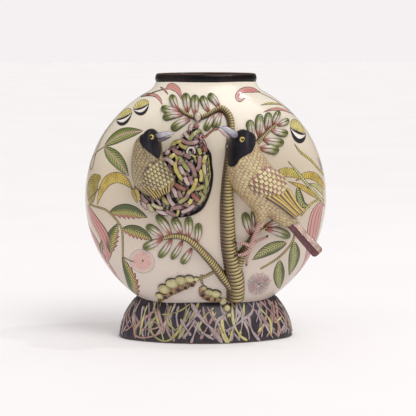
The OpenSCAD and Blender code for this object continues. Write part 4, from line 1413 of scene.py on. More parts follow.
RIGHT_THIGH = [
    [188, 52, 80, 24, 6], [180, 54.5, 77, 20, 6], [172, 57, 73.5, 17, 7], [165, 58.8, 70.5, 13, 8],
    [160, 59.8, 68.5, 10, 8], [156, 60.6, 66.5, 6, 9],
]
RIGHT_RUMP = [[80, 186, 38, 31, 0], [90, 174, 28, 27, 2], [98, 165, 22, 22, 6], [105, 158, 15, 15, 12]]
RIGHT_WING = [
    [232, 56, 66, 8, 29], [226, 48, 76, 14, 27], [219, 43.5, 83, 17, 26], [211, 42.5, 88, 18, 25.5],
    [204, 46, 91, 17, 25], [198, 52, 93, 14, 24], [193.5, 60, 95, 9, 22],
]


def on_form(tree, x, z, high=95.0):
    """How far a modelled form stands above the wall at x and z, or None where it isn't."""
    start_point, out = spot(x, z, high), Vector(outward(x, z))
    hit = tree.ray_cast(Vector(start_point), -out)
    return high - hit[3] if hit[0] is not None else None


def draped_on(tree):
    """A way to lay clay over a form, and over the wall beside it."""
    def lay(x, z, lift):
        x, z, lift = np.broadcast_arrays(x, z, lift)
        found = [on_form(tree, float(a), float(b)) for a, b in zip(x.ravel(), z.ravel())]
        over = np.array([0.3 if high is None else high for high in found]).reshape(x.shape)
        return place(x, z, lift + over)
    return lay


def mask(form, outline):
    """The black hood: a skin of slip over the head, with a crisp edge."""
    rows = np.array(outline, float)
    laid = np.column_stack([(rows[:, 1] + rows[:, 2]) / 2, rows[:, 0], (rows[:, 2] - rows[:, 1]) / 2])
    laid = curve(laid, 0.8)
    clay = Clay()
    sweep(clay, laid[:, :2], laid[:, 2], 0.9, sunk=2.4, sides=45, flat=True, lay=draped_on(form.tree()),
        upright=True)
    return clay


# How far a small wing feather's tip stands off, and how its rows and neighbours are spaced
COVERT_RISE = 1.25
COVERT_ROW = 0.62
COVERT_SIDE = 1.75
WING_DOWN = (0.62, -0.78)


def covert(clay, tree, x, z, down, length, half):
    """One small wing feather: rooted in the form, its rounded tip standing free."""
    route = [(x + down[0] * length * t, z + down[1] * length * t) for t in np.linspace(-0.1, 1, 9)]
    lifts = [on_form(tree, *p) for p in route]
    if any(lift is None for lift in lifts):
        return
    t = np.linspace(0, 1, 9)
    width = half * np.sqrt(np.clip(1 - np.clip((t - 0.45) / 0.55, 0, 1) ** 2, 0.01, 1)) * (0.75 + 0.25 * t)
    sweep(clay, route, width, 0.8 - 0.3 * t, np.array(lifts) + 0.1 + COVERT_RISE * t, sunk=0.9, sides=9,
        blunt=0.6)


def coverts(form, centre, down, reach, spread, length, half):
    """Rows of small feathers over the wing, tips last, so that each row lies over the next."""
    tree = form.tree()
    clay = Clay()
    side = np.array([down[1], -down[0]])
    rows = int(2 * reach / (length * COVERT_ROW))
    for i in range(rows + 1):
        run = reach - 2 * reach * i / rows
        room = spread * math.sqrt(max(0.0, 1 - (run / (reach * 1.06)) ** 2))
        count = int(2 * room / (half * COVERT_SIDE))
        for k in range(-count, count + 1):
            across = (k + 0.5 * (i % 2)) * half * COVERT_SIDE
            if abs(across) > room:
                continue
            x, z = np.array(centre) + np.array(down) * (run - length * 0.5) + side * across
            covert(clay, tree, x, z, down, length, half)
    return clay


def flight_feathers(clay, roots, tips, count, lift_root, lift_tip, half, tint):
    for i in range(count):
        t = i / (count - 1)
        a = np.array(roots[0]) * (1 - t) + np.array(roots[1]) * t
        b = np.array(tips[0]) * (1 - t) + np.array(tips[1]) * t
        route = curve(bowed(a, b, 0.03 - 0.06 * t), 1.0)
        s = along_share(len(route))
        width = half * (1 - 0.3 * s) * np.sqrt(np.clip(1 - np.clip((s - 0.85) / 0.15, 0, 1) ** 2, 0.02, 1))
        sweep(clay, route, width, 2.2, lift_root + (lift_tip - lift_root) * s + 0.5 * (i % 2), sunk=2.5,
            sides=11, blunt=0.7, tint=tint)


def bill(root_x, root_z, root_lift, tip_x, tip_z, tip_lift, arch, radius, tint=(1, 1, 1)):
    """A horn-shaped half of a bill, arched along its length."""
    clay = Clay()
    a, b = spot(root_x, root_z, root_lift), spot(tip_x, tip_z, tip_lift)
    middle = (a + b) / 2 + np.array([0, 0, arch])
    near_tip = a * 0.22 + b * 0.78 + np.array([0, 0, arch * 0.7])
    rod(clay, [a, middle, near_tip, b], [radius, radius * 0.8, radius * 0.45, 0.5], sides=16, squash=0.8,
        tint=tint)
    return clay


def eye(form, hooded, x, z, radius):
    """A glossy ball set in the hood, with a thin rolled lid round it."""
    lift = on_form(form.tree(), x, z) + 1.0
    clay = Clay()
    ball(clay, spot(x, z, lift - radius * 0.35), radius, outward(x, z), deep=0.75)
    eyelid(hooded, x, z, lift + 0.2, radius * 1.02)
    return clay


def eyelid(clay, x, z, lift, radius):
    """A thin rolled ring round the eye, part of the hood."""
    out = outward(x, z)
    side = np.cross(out, [0, 0, 1])
    side /= np.linalg.norm(side)
    up = np.cross(side, out)
    centre = spot(x, z, lift)
    turns = np.linspace(0, 2 * math.pi, 19)
    ring = [centre + radius * (math.cos(a) * side + math.sin(a) * up) for a in turns]
    rod(clay, ring, [0.65] * len(ring), sides=8)


def tail_slab():
    """A stiff tail whose long corner faces forward: speckled above, maroon below."""
    root, tip = spot(92, 172, 14), np.array([140.5, -98.5, 122.5])
    run = (tip - root) / np.linalg.norm(tip - root)
    side = np.cross(run, [0, -1, 0])
    side /= np.linalg.norm(side)
    out = np.cross(side, run)
    upper, lower = shade(190, 152, 130), shade(108, 56, 66)
    corners = [(8.6, -0.6, lower), (-5.0, -1.6, lower), (-5.0, -1.6, upper), (-7.4, 0.0, upper),
        (-7.4, 0.0, upper), (0.0, 4.4, upper), (0.0, 4.4, lower), (8.6, -0.6, lower)]
    face_half = 4.4
    clay = Clay()
    share = np.concatenate([np.linspace(0, 0.94, 40), [0.97, 0.99, 1.0]])
    taper = np.concatenate([0.82 + 0.18 * np.linspace(0, 1, 40), [0.9, 0.72, 0.4]])
    points, tints, across = [], [], []
    for (u0, w0, tint0), (u1, w1, tint1) in zip(corners[::2], corners[1::2]):
        for k in np.linspace(0.0, 1.0, 7):
            points.append((u0 + (u1 - u0) * k, w0 + (w1 - w0) * k))
            tints.append(tint0)
            across.append(k * 2 - 1)
    corner = np.array(points)
    length = np.linalg.norm(tip - root)
    rings = (root + run * length * share[:, None, None]
        + taper[:, None, None] * (corner[None, :, :1] * side + corner[None, :, 1:] * out))
    clay.tube(rings, np.broadcast_to(np.array(tints), (len(share), len(tints), 3)), along=length * share,
        across=np.broadcast_to(np.array(across) * face_half, (len(share), len(across))),
        half=face_half, share=share)
    return clay


def banded_swell(along):
    """The leg's scales stand out a little, in step with their painted rings."""
    return 1 + 0.06 * np.sin(along / scale_gap * 2 * math.pi)


def right_leg():
    shank, toes, claws = Clay(), Clay(), Clay()
    rod(shank, [spot(64, 166, 13), spot(57, 149, 13), spot(50, 130, 13)], [4.4, 3.1, 2.9],
        swell=banded_swell)
    for run in (((51, 133, 13), (43, 137, 14), (34, 137, 12)), ((52, 135, 13), (62, 140, 12), (72, 142,
            8)),
            ((50, 128, 13), (43, 124, 15), (35, 122, 13)), ((50, 128, 13), (47, 119, 14), (47, 110,
            11))):
        rod(toes, [spot(*p) for p in run], [2.5, 2.1, 1.8], swell=banded_swell)
    for a, b in (((34, 137, 12), (29.5, 138.5, 9)), ((72, 142, 8), (76, 144, 5)),
            ((35, 122, 13), (30.5, 120.5, 11)), ((47, 110, 11), (47, 105.5, 9))):
        start_point, end_point = spot(*a), spot(*b)
        middle = (start_point + end_point) / 2 + np.array([0, -0.8, 0.4])
        rod(claws, [start_point, middle, end_point], [1.9, 1.4, 0.4], tint=shade(26, 22, 28))
    return shank, toes, claws


# ---- pods ---------------------------------------------------------------------------

# Each row is [x, z, radius]
UPPER_BEADS = [
    [-16, 85.5, 3.6], [-24.5, 86, 5.8], [-35, 84, 6.9], [-46.5, 79.5, 7.6], [-56.5, 71.5, 7.4],
    [-62, 61.5, 5.4],
]
LOWER_BEADS = [[-5.5, 73, 3.6], [0.5, 67.5, 5.6], [10, 65, 6.2]]
FOOT_BEADS = [[19.5, 53.5, 6.2], [25, 44.5, 5.4], [27.5, 35.5, 4.0]]
UPPER_HUSK = [[-16, 81.5, 3, 2, 0], [-26, 78, 10, 3.4, 0], [-38, 73, 13, 4, 0], [-49, 67.5, 13, 4, 0],
    [-57, 60, 9, 3, 0], [-62, 51, 2, 1.5, 0]]
LOWER_HUSK = [[-10, 74, 4, 2, 0], [-7.5, 65, 9, 4, 0], [0, 59.5, 10, 5, 0], [9, 58, 8, 5, 1],
    [17, 57.5, 4, 4, 2]]
UPPER_SEEDS = [[-21, 79.5], [-29.5, 75.5], [-38.5, 72], [-47.5, 67.5], [-55, 61.5]]
LOWER_SEEDS = [[-7, 65], [0, 60], [9, 58.5]]
BEAD_GREEN = shade(202, 196, 146)


def bead(clay, centre, radius, out, along_x=1.26):
    side = np.array([1.0, 0.0, -0.25])
    ball(clay, centre, radius, out, tint=BEAD_GREEN, deep=0.72, sides=28)
    rings = clay.points[-1].reshape(-1, 3)
    rings += np.outer((rings - centre) @ side / 1.06, side) * (along_x - 1)


def front_of_foot(x, z, out):
    s = foot_oval.side_r * math.asin(x / (foot_oval.side_r + float(foot_flare(z))))
    return on_foot(np.array(s), np.array(float(z)), out)


def beads():
    upper, lower = Clay(), Clay()
    for clay, rows in ((upper, UPPER_BEADS), (lower, LOWER_BEADS)):
        for x, z, radius in rows:
            bead(clay, spot(x, z, radius * 0.16), radius, outward(x, z))
    for x, z, radius in FOOT_BEADS:
        bead(lower, front_of_foot(x, z, radius * 0.2 + (2.5 if z > 50 else 0)), radius, (0, -1, 0.2),
            along_x=0.9)
    tail = [spot(-62.5, 57, 2), spot(-63.5, 51, 1.6), front_of_foot(-63.5, 44, 1.2), front_of_foot(-62.5,
        40,
        0.8)]
    rod(upper, tail, [2.2, 1.2, 0.9, 0.5], tint=shade(120, 100, 60))
    tip = [front_of_foot(27.5, 34, 1.5), front_of_foot(27.6, 29, 1.2), front_of_foot(27.0, 24, 0.8)]
    rod(lower, tip, [1.8, 1.1, 0.5], tint=shade(130, 124, 70))
    return upper, lower


def husk(rows, seeds):
    body, beans = Clay(), Clay()
    laid_rows(body, rows, 17, spacing=0.8, sunk=1, tint=shade(172, 136, 92))
    for i, (x, z) in enumerate(seeds):
        ball(body, spot(x, z, 3.2), 4.4, outward(x, z), tint=shade(204, 180, 108) if i % 2 else shade(186,
            134,
            98),
            deep=0.4, sides=20)
        ball(beans, spot(x, z, 4.6), 2.7, outward(x, z), tint=shade(24, 22, 34), deep=0.6, sides=18)
    return body, beans


# ---- painted garden -----------------------------------------------------------------

Ground = namedtuple("Ground", "plan lay")


def as_seen(points):
    return np.asarray(points, float)


def draped(tree, facing):
    """Lays paint on the vase's wall straight ahead of each x and z, in front or behind."""
    def lay(x, z, lift):
        x, z, lift = np.broadcast_arrays(x, z, lift)
        made = np.empty((*x.shape, 3))
        for index in np.ndindex(x.shape):
            start_point = Vector((x[index] * facing, -300 * facing, z[index]))
            hit, normal = tree.ray_cast(start_point, Vector((0, facing, 0)))[:2]
            if hit is None:
                hit, normal = tree.find_nearest(start_point * 0.5)[:2]
            if normal.y * facing > 0:
                normal = -normal
            made[index] = hit + normal * lift[index]
        return made
    return lay


# The least half width of a painted shape, and how deep its edge goes into the wall
LEAST_BRUSH = 0.08
SKIRT = 0.5


def stroke(clay, rows, ground, tint=(1, 1, 1), lift=PAINT, spacing=1.4, columns=9):
    """A brush stroke from rows of (x, z, half width, and the other half width if it differs)."""
    rows = np.array([[*row, row[-1]][:4] for row in rows], float)
    rows[:, :2] = ground.plan(rows[:, :2])
    rows = curve(rows, spacing)
    half = np.maximum(rows[:, 2], LEAST_BRUSH)
    right = np.maximum(rows[:, 3], LEAST_BRUSH)
    sweep(clay, rows[:, :2], half, lift, sunk=SKIRT, sides=columns, flat=True, lay=ground.lay,
        right=right, tint=tint)


def leaf(clay, base, tip, half, ground, bow=0.0, teeth=0):
    """A pointed painted leaf. Teeth are cut along its right side."""
    ends = ground.plan([base, tip])
    route = curve(bowed(ends[0], ends[1], bow), 0.7)
    t = along_share(len(route))
    body = np.sin(math.pi * t ** 0.85) ** 0.8 * half
    right = body
    if teeth:
        saw = (t * teeth) % 1.0
        right = body * (0.78 + 0.5 * saw * np.clip(4 * (1 - t), 0, 1))
    sweep(clay, route, np.maximum(body, LEAST_BRUSH), PAINT, sunk=SKIRT, sides=13, flat=True,
        lay=ground.lay, right=np.maximum(right, LEAST_BRUSH))


def crescent(clay, a, b, near, far, ground, tint, lift=PAINT):
    """The shape between two arcs that share their ends, near and far to the right of a to b."""
    ends = ground.plan([a, b])
    run = ends[1] - ends[0]
    side = np.array([run[1], -run[0]]) / np.linalg.norm(run)
    t = along_share(26)
    arch = np.maximum(np.sin(math.pi * t), 0) ** 0.75
    route = ends[0] + run * t[:, None] + side * ((near + far) / 2 * arch)[:, None]
    sweep(clay, route, np.maximum((far - near) / 2 * arch, LEAST_BRUSH), lift, sunk=SKIRT, sides=9,
        flat=True, lay=ground.lay, tint=tint)


HAIR_PAINTS = (shade(170, 156, 156), shade(188, 160, 156), shade(196, 150, 144), shade(150, 140, 144))


def hairs(clay, centre, radius, count, ground, seed):
    """A puff of fine hairs drawn outward from a bare middle."""
    pick = random.Random(seed)
    middle = ground.plan([centre])[0]
    for i in range(count):
        angle = 2 * math.pi * (i + pick.random() * 0.8) / count
        way = np.array([math.cos(angle), math.sin(angle)])
        start_r, end_r = pick.uniform(1.5, radius * 0.5), radius * pick.uniform(0.82, 1.08)
        route = curve(bowed(middle + way * start_r, middle + way * end_r, pick.uniform(-0.05, 0.05)), 3.0)
        tint = pick.choice(HAIR_PAINTS)
        sweep(clay, route, np.linspace(0.5, 0.22, len(route)), PAINT, sunk=SKIRT, sides=3, flat=True,
            lay=ground.lay, tint=tint)
    dot = [middle + np.array([0, -1.4]), middle, middle + np.array([0, 1.4])]
    sweep(clay, dot, [0.5, 1.5, 0.5], PAINT * 1.6, sunk=SKIRT, sides=7, flat=True, lay=ground.lay, tint=INK)


def puff(clay, centre, radius, ground):
    middle = ground.plan([centre])[0]
    turns = np.linspace(0, 2 * math.pi, 60, endpoint=False)
    run = np.linspace(0.02, 1, 12)
    edge = radius * (1 + 0.035 * np.cos(turns * 20))
    u = middle[0] + run[:, None] * edge * np.cos(turns)
    v = middle[1] + run[:, None] * edge * np.sin(turns)
    top = ground.lay(u, v, PAINT + 0 * u)
    skirt = ground.lay(u[-1:], v[-1:], -SKIRT + 0 * u[-1:])
    share = np.concatenate([run, [1.0]])
    clay.tube(np.concatenate([top, skirt]), share=share)


# The painted fans: both ends of the line they open from, and their size
FANS = [((-96, 304), (-76, 312), 1.0), ((-118, 290), (-98, 300), 1.1), ((108, 281), (130, 271), 1.35)]
PINK = shade(216, 148, 138)
ROSE = shade(196, 134, 126)
BUTTER = shade(214, 188, 88)
LEMON_LEAF = shade(212, 196, 104)
STEM_OLIVE = shade(178, 164, 92)


def garden(ground, high, mark):
    """All the flat painting of one face. Places are seen from straight ahead."""
    ink, washes, petals, stems = Clay(), Clay(), Clay(), Clay()
    plain, ribbed, toothed, puffs, down = Clay(), Clay(), Clay(), Clay(), Clay()
    for a, b, size in FANS:
        crescent(washes, a, b, -14.0 * size, 2.4 * size, ground, shade(230, 218, 136))
        crescent(ink, a, b, 1.6 * size, 4.6 * size, ground, INK, PAINT * 1.5)
        crescent(ink, a, b, 4.4 * size, 10.5 * size, ground, shade(238, 232, 222))
        crescent(ink, a, b, 9.4 * size, 14.4 * size, ground, INK, PAINT * 1.5)
    stroke(petals, [(-53, 331, 1.2), (-47, 334, 4.5), (-40, 331, 4.2), (-36, 325, 2.6), (-34.5, 318,
        0.3)], high,
        PINK)
    stroke(petals, [(-61, 333, 0.4), (-56, 330, 1.4), (-51, 324, 0.5)], high, PINK)
    stroke(petals, [(-86, 320, 0.6), (-77, 323, 1.8), (-68, 322.5, 2.1), (-62, 318, 2), (-59, 311, 0.3)],
        high, PINK)
    stroke(stems, [(-80, 321, 0.6), (-70, 326, 0.7), (-58, 330, 0.7), (-53, 331, 0.7)], high, STEM_OLIVE)
    stroke(petals, [(70, 326, 0.3), (60, 329, 3.2), (49, 329.5, 3.6), (41, 326, 2.8), (38, 320.5, 2.3),
        (42, 316.5, 2.2), (49, 319, 0.3)], high, shade(212, 134, 122), spacing=1.0)
    stroke(stems, [(68, 326, 0.8), (90, 315, 0.8), (100, 308, 0.8), (110, 301, 0.8)], ground, STEM_OLIVE)
    stroke(stems, [(69, 310, 0.2), (80, 311.5, 1.8), (93, 310.5, 1.8), (100, 308, 0.8)], ground, LEMON_LEAF)
    stroke(petals, [(72, 301, 0.2), (86, 304.5, 2.2), (100, 303, 2.6), (116, 295, 0.8)], ground, PINK)
    stroke(stems, [(113, 260, 0.4), (121, 249, 1.6), (135, 238, 1.8), (147, 225, 1.8), (155, 216, 1.6)],
        ground, LEMON_LEAF)
    stroke(stems, [(104, 238, 0.4), (117, 223, 1.9), (131, 206, 2.1), (146, 190, 2.1), (156, 176, 2.0)],
        ground, shade(212, 214, 150), PAINT * 2.2)
    stroke(ink, [(132, 278, 0.3), (141, 264, 1.3), (148, 252, 0.4)], ground, shade(150, 140, 148))
    stroke(ink, [(146, 240, 1.0), (150, 230, 3.2), (151, 222, 1.5)], ground, shade(156, 148, 152))
    # leaves behind the right bird
    stroke(washes, [(90, 227, 0.4), (100, 225, 5.5, 7), (112, 221, 5.5, 5), (124, 213, 0.3)], ground,
        LEMON_LEAF)
    stroke(washes, [(114, 212, 0.3), (126, 217, 5.5, 3), (141, 214, 7.5, 4), (156, 199, 4)], ground,
        BUTTER, PAINT * 1.4)
    stroke(washes, [(104, 212, 0.3), (122, 205, 2.6, 4.4), (137, 195, 3, 4), (150, 183, 0.4)], ground,
        BUTTER)
    stroke(washes, [(132, 208, 0.3), (145, 202, 3.4), (155, 189, 2)], ground, shade(208, 206, 136),
        PAINT * 1.2)
    stroke(plain, [(117, 203, 2.4), (119, 192, 5.4), (124, 181, 4.6), (134, 177, 1.4)], ground)
    stroke(stems, [(121, 166, 1.9), (131, 177, 1.7), (141, 184, 1.6), (153, 186, 1.6)], ground,
        LEMON_LEAF, PAINT * 1.6)
    # the long petals at both sides
    stroke(petals, [(155, 184, 2), (146, 170, 11), (141, 148, 13), (138, 122, 11), (130, 99, 6), (117, 82,
        0.3)],
        ground, ROSE, columns=17)
    stroke(petals, [(-156, 178, 3), (-148, 160, 8), (-137, 142, 9), (-131, 121, 8), (-131, 100, 0.6)],
        ground, ROSE, columns=17)
    stroke(petals, [(-156, 152, 1), (-148, 134, 6), (-139, 116, 6), (-132, 102, 0.5)], ground, shade(188,
        124,
        116),
        columns=13)
    stroke(petals, [(-130, 104, 1), (-125, 93, 4), (-120, 84, 3.4), (-111, 73, 0.3)], ground, ROSE)
    # left side: stalk with toothed leaves
    stroke(stems, [(-155, 180, 1.5), (-140, 177, 1.5), (-130, 173, 1.5), (-118, 161, 1.5), (-112, 149, 1.5),
        (-111, 131, 1.4), (-111, 113, 1.3)], ground, STEM_OLIVE, PAINT * 1.5)
    stroke(stems, [(-111, 113, 1.1), (-103, 109, 1.1), (-96, 107, 0.9)], ground, STEM_OLIVE)
    leaf(toothed, (-128, 172), (-79, 167), 9.5, ground, 0.1, 7)
    leaf(toothed, (-112, 151), (-72, 137), 8.5, ground, 0.08, 7)
    leaf(toothed, (-127, 117), (-117, 158), 8.5, ground, 0.06, 6)
    leaf(toothed, (-139, 114), (-138, 134), 4, ground, 0.0, 4)
    leaf(toothed, (-93, 56), (-112, 114), 9.5, ground, -0.1, 9)
    leaf(ribbed, (-134, 257), (-84, 278), 9.5, ground, 0.08)
    leaf(ribbed, (-134, 255), (-103, 220), 9.5, ground, 0.05)
    stroke(stems, [(-119, 291, 0.5), (-133, 273, 0.9), (-142, 255, 0.9), (-147, 240, 0.9), (-150, 228,
        0.9),
        (-152, 225, 0.9), (-153, 231, 0.9), (-148, 243, 0.9), (-134, 256, 0.9)], ground,
        STEM_OLIVE)
    # left side: the banana leaf and its yellow sickle
    stroke(washes, [(-139, 218, 2), (-147, 211, 9, 12), (-151, 198, 10, 16), (-153, 186, 8, 10),
        (-154, 180, 1)], ground, shade(176, 160, 76), columns=13)
    stroke(ink, [(-139, 205, 0.5), (-148, 194, 0.8), (-156, 184, 0.5)], ground, shade(96, 74, 40),
        PAINT * 1.8)
    stroke(washes, [(-144, 181, 0.8), (-139, 199, 4, 5), (-131, 213, 6, 8), (-119, 218, 7, 8), (-108, 213,
        6, 5),
        (-98, 203, 0.3)], ground, BUTTER, PAINT * 1.4)
    stroke(washes, [(-99, 205, 1), (-96, 197, 3.6), (-92, 186, 1)], ground, shade(214, 184, 84))
    # right side: plain leaves on a forked stalk
    stroke(stems, [(114, 147, 1.6), (110, 131, 1.7), (93, 112, 1.7), (68, 97, 1.4)], ground, STEM_OLIVE)
    leaf(plain, (103, 131), (57, 110), 8.5, ground, -0.06)
    leaf(plain, (113, 132), (108, 85), 9, ground, 0.06)
    leaf(plain, (94, 108), (96, 66), 8.5, ground, -0.05)
    hairs(puffs, (67, 76), 17.5, 96, ground, 3)
    puff(down, (-86, 108), 17.5, ground)
    stroke(puffs, [(-85, 110.3, 0.5), (-85, 109, 1.2), (-85, 107.7, 0.5)], ground, INK, PAINT * 1.8)
    stroke(washes, [(-88, 43.5, 0.5), (-82, 50, 2.6), (-74, 52, 0.4)], ground, BUTTER)
    ink.piece("painted_ink_" + mark, FLAT, "black_glaze")
    washes.piece("painted_yellow_leaves_" + mark, WASH, "yellow_paint")
    petals.piece("painted_petals_" + mark, PETAL, "rose_paint")
    stems.piece("painted_stems_" + mark, STEM, "bark")
    plain.piece("painted_plain_leaves_" + mark, GREEN, "leaf_paint")
    ribbed.piece("painted_ribbed_leaves_" + mark, RIBBED, "leaf_paint")
    toothed.piece("painted_toothed_leaves_" + mark, TOOTHED, "leaf_paint")
    puffs.piece("painted_hair_puff_" + mark, FLAT, "pink_clay")
    down.piece("painted_down_puff_" + mark, PUFF, "pink_clay")


def back_tree(ground):
    """Behind, a flat painted tree takes the place of the modelled one."""
    stems, leaves, toothed = Clay(), Clay(), Clay()
    limbs = [
        [(-6, 56, 6), (-2, 100, 5), (-6, 150, 4), (0, 200, 3.2), (-10, 250, 2.2), (4, 292, 0.6)],
        [(-3, 110, 3), (-24, 150, 2.6), (-52, 176, 1.8), (-70, 206, 0.6)],
        [(-4, 140, 3), (22, 176, 2.6), (50, 200, 1.8), (66, 240, 0.6)],
        [(-2, 200, 2.4), (-26, 226, 1.8), (-46, 262, 0.6)],
        [(-3, 84, 2.6), (24, 104, 2), (44, 140, 0.6)],
    ]
    for k, limb in enumerate(limbs):
        stroke(stems, limb, ground, STEM_OLIVE, PAINT * (1 + 0.3 * k))
        route = curve([row[:2] for row in limb], 1.0)
        count = 4 + len(limb)
        for i in range(1, count + 1):
            at = int((0.25 + 0.72 * i / count) * (len(route) - 2))
            way = route[at + 1] - route[at]
            turn = 0.9 if i % 2 else -0.9
            lean = np.array([way[0] * math.cos(turn) - way[1] * math.sin(turn),
                way[0] * math.sin(turn) + way[1] * math.cos(turn)])
            lean /= np.linalg.norm(lean)
            size = 26 - 2 * (k % 3)
            target = toothed if (i + k) % 3 == 0 else leaves
            leaf(target, route[at], route[at] + lean * size, 5.4, ground, 0.08 * (-1) ** i,
                7 if target is toothed else 0)
    stems.piece("painted_tree_behind", STEM, "bark")
    leaves.piece("painted_tree_leaves_behind", GREEN, "leaf_paint")
    toothed.piece("painted_tree_toothed_leaves_behind", TOOTHED, "leaf_paint")


# ---- the vase, piece by piece -------------------------------------------------------

def make_vessel():
    shell = vase_wall()
    shell.piece("body_wall", CREAM, "cream_glaze", "front_dish", "back_dish", "neck_collar")
    mouth_rim().piece("mouth_rim", RIM, "black_glaze", "rim_band")
    foot_skirt().piece("flared_foot", GROUND, "black_glaze", "foot_skirt")
    fine, bold = foot_strands()
    fine.piece("foot_fine_roots", STRAND, "pink_clay")
    bold.piece("foot_bold_roots", STRAND, "yellow_paint")
    return shell.tree()


def make_tree():
    stem(TRUNK).piece("tree_trunk", BARK, "bark", "trunk")
    stem(LEFT_BRANCH).piece("tree_left_branch", BARK, "bark", "left_branch")
    stem(RIGHT_BRANCH).piece("tree_right_branch", BARK, "bark", "right_branch")
    stem(UPPER_BRANCH, 0.7).piece("tree_upper_branch", BARK, "bark", "upper_branch")
    knot().piece("arch_knot", STRIP, "pink_clay", "nest_knot")
    for name, rows, node, seed in (
            ("arch_leaf_paddles", ARCH_LEAFLETS, "leaflets_arch", 1),
            ("twig_leaf_paddles", TWIG_LEAFLETS, "leaflets_twig", 2),
            ("upper_leaf_paddles", UPPER_LEAFLETS, "leaflets_upper", 3),
            ("left_leaf_paddles", LEFT_LEAFLETS, "leaflets_left", 4),
            ("right_leaf_paddles", RIGHT_LEAFLETS, "leaflets_right", 5)):
        leaflets(rows, seed).piece(name, LEAFLET, "leaf_paint", node)


def make_nest():
    nest_hollow().piece("nest_dark_hollow", HOOD, "black_glaze", "nest_cup")
    nest_roll().piece("nest_rolled_edge", HOOD, "black_glaze", "nest_edge")
    low, middle, top, twist = nest_strips()
    low.piece("nest_strips_low", STRIP, "pink_clay", "strips_under")
    middle.piece("nest_strips_middle", STRIP, "yellow_paint", "strips_middle")
    top.piece("nest_strips_top", STRIP, "rose_paint", "strips_over")
    twist.piece("nest_strips_twisted", STRIP, "leaf_paint", "neck_strips")
    woven_strand().piece("strand_in_bill", STRIP, "pink_clay", "beak_strand")


def make_left_bird():
    form = Clay()
    mound(form, LEFT_TORSO)
    mound(form, LEFT_HEAD)
    head = mask(form, LEFT_MASK)
    eye(form, head, -66.4, 263.6, 4.1).piece("left_weaver_eye", EYE, "amber_paint", "left_bird_eye")
    form.piece("left_weaver_torso", OLIVE_PLUMAGE, "straw_paint", "left_bird_body")
    head.piece("left_weaver_hood", HOOD, "black_glaze", "left_bird_head")
    bill(-60, 266.3, 27, -41.5, 268.8, 25, 1.2, 4.2).piece(
        "left_weaver_bill_top", BILL, "beak_grey", "left_bird_upper_beak")
    bill(-59.5, 261, 27, -45, 266.0, 25, -0.6, 2.8, shade(120, 112, 122)).piece(
        "left_weaver_bill_under", BILL, "beak_grey", "left_bird_lower_beak")
    wing = Clay()
    mound(wing, LEFT_WING, sides=31, sunk=10, blunt=0.85)
    cover = coverts(wing, (-61, 221), WING_DOWN, 18, 18, 7.2, 2.4)
    wing.piece("left_weaver_wing_form", OLIVE_PLUMAGE, "straw_paint", "left_bird_wing")
    cover.piece("left_weaver_wing_coverts", OLIVE_COVERT, "straw_paint")
    quills = Clay()
    flight_feathers(quills, ((-77, 208), (-47, 212)), ((-63, 192.5), (-48, 201)), 8, 30, 25, 2.0,
        shade(240, 232, 214))
    quills.piece("left_weaver_flight_feathers", QUILL, "straw_paint", "left_bird_quills")


def make_right_bird():
    form = Clay()
    mound(form, RIGHT_TORSO)
    mound(form, RIGHT_HEAD)
    mound(form, RIGHT_THIGH, sides=27)
    laid_rows(form, RIGHT_RUMP, 31, girth=True)
    head = mask(form, RIGHT_MASK)
    eye(form, head, 35.8, 259.8, 4.2).piece("right_weaver_eye", EYE, "amber_paint", "right_bird_eye")
    form.piece("right_weaver_torso", ROSY_PLUMAGE, "straw_paint", "right_bird_body")
    head.piece("right_weaver_hood", HOOD, "black_glaze", "right_bird_head")
    bill(29, 266, 33, 9, 275.5, 36, 1.6, 4.5).piece(
        "right_weaver_bill_top", BILL, "beak_grey", "right_bird_upper_beak")
    bill(21, 263.5, 34, 9.5, 271.5, 36, 0.4, 2.6, shade(255, 226, 214)).piece(
        "right_weaver_bill_under", BILL, "beak_grey", "right_bird_lower_beak")
    wing = Clay()
    mound(wing, RIGHT_WING, sides=31, sunk=12, blunt=0.85)
    cover = coverts(wing, (64, 212), WING_DOWN, 21, 20.5, 7.4, 3.1)
    wing.piece("right_weaver_wing_form", ROSY_PLUMAGE, "straw_paint", "right_bird_wing")
    cover.piece("right_weaver_wing_coverts", ROSY_COVERT, "straw_paint")
    quills = Clay()
    flight_feathers(quills, ((64, 196), (88, 202)), ((98, 170.5), (107.5, 176)), 6, 37, 34, 2.7,
        shade(255, 248, 236))
    quills.piece("right_weaver_flight_feathers", QUILL, "yellow_paint", "right_bird_quills")
    tail_slab().piece("right_weaver_tail", TAIL, "maroon_paint", "right_bird_tail")
    shank, toes, claws = right_leg()
    shank.piece("right_weaver_shank", SHANK, "pink_clay", "right_bird_leg")
    toes.piece("right_weaver_toes", SHANK, "pink_clay", "right_bird_toes")
    claws.piece("right_weaver_claws", CLAW, "black_glaze", "right_bird_claws")


def make_pods():
    upper, lower = beads()
    upper.piece("upper_pod_swellings", BEAD, "leaf_paint", "upper_pod_beads")
    lower.piece("lower_pod_swellings", BEAD, "leaf_paint", "lower_pod_beads")
    shell, beans = husk(UPPER_HUSK, UPPER_SEEDS)
    shell.piece("upper_pod_open_side", HUSK, "rose_paint", "upper_pod_husk")
    beans.piece("upper_pod_beans", CLAW, "black_glaze", "upper_pod_seeds")
    shell, beans = husk(LOWER_HUSK, LOWER_SEEDS)
    shell.piece("lower_pod_open_side", HUSK, "rose_paint", "lower_pod_husk")
    beans.piece("lower_pod_beans", CLAW, "black_glaze", "lower_pod_seeds")
    stem([[10, 97, 4, 3, 0], [-4, 89, 3.6, 3, 0], [-15, 86, 3, 2.5, 0]], 0.6, 13).piece(
        "pod_upper_stalk", BARK, "bark", "pod_stalk")
    stem([[-9, 91, 3, 2.5, 0], [-9, 82, 3, 2.5, 0], [-6.5, 76, 3, 2, 0]], 0.6, 13).piece(
        "pod_lower_stalk", BARK, "bark", "lower_stalk")


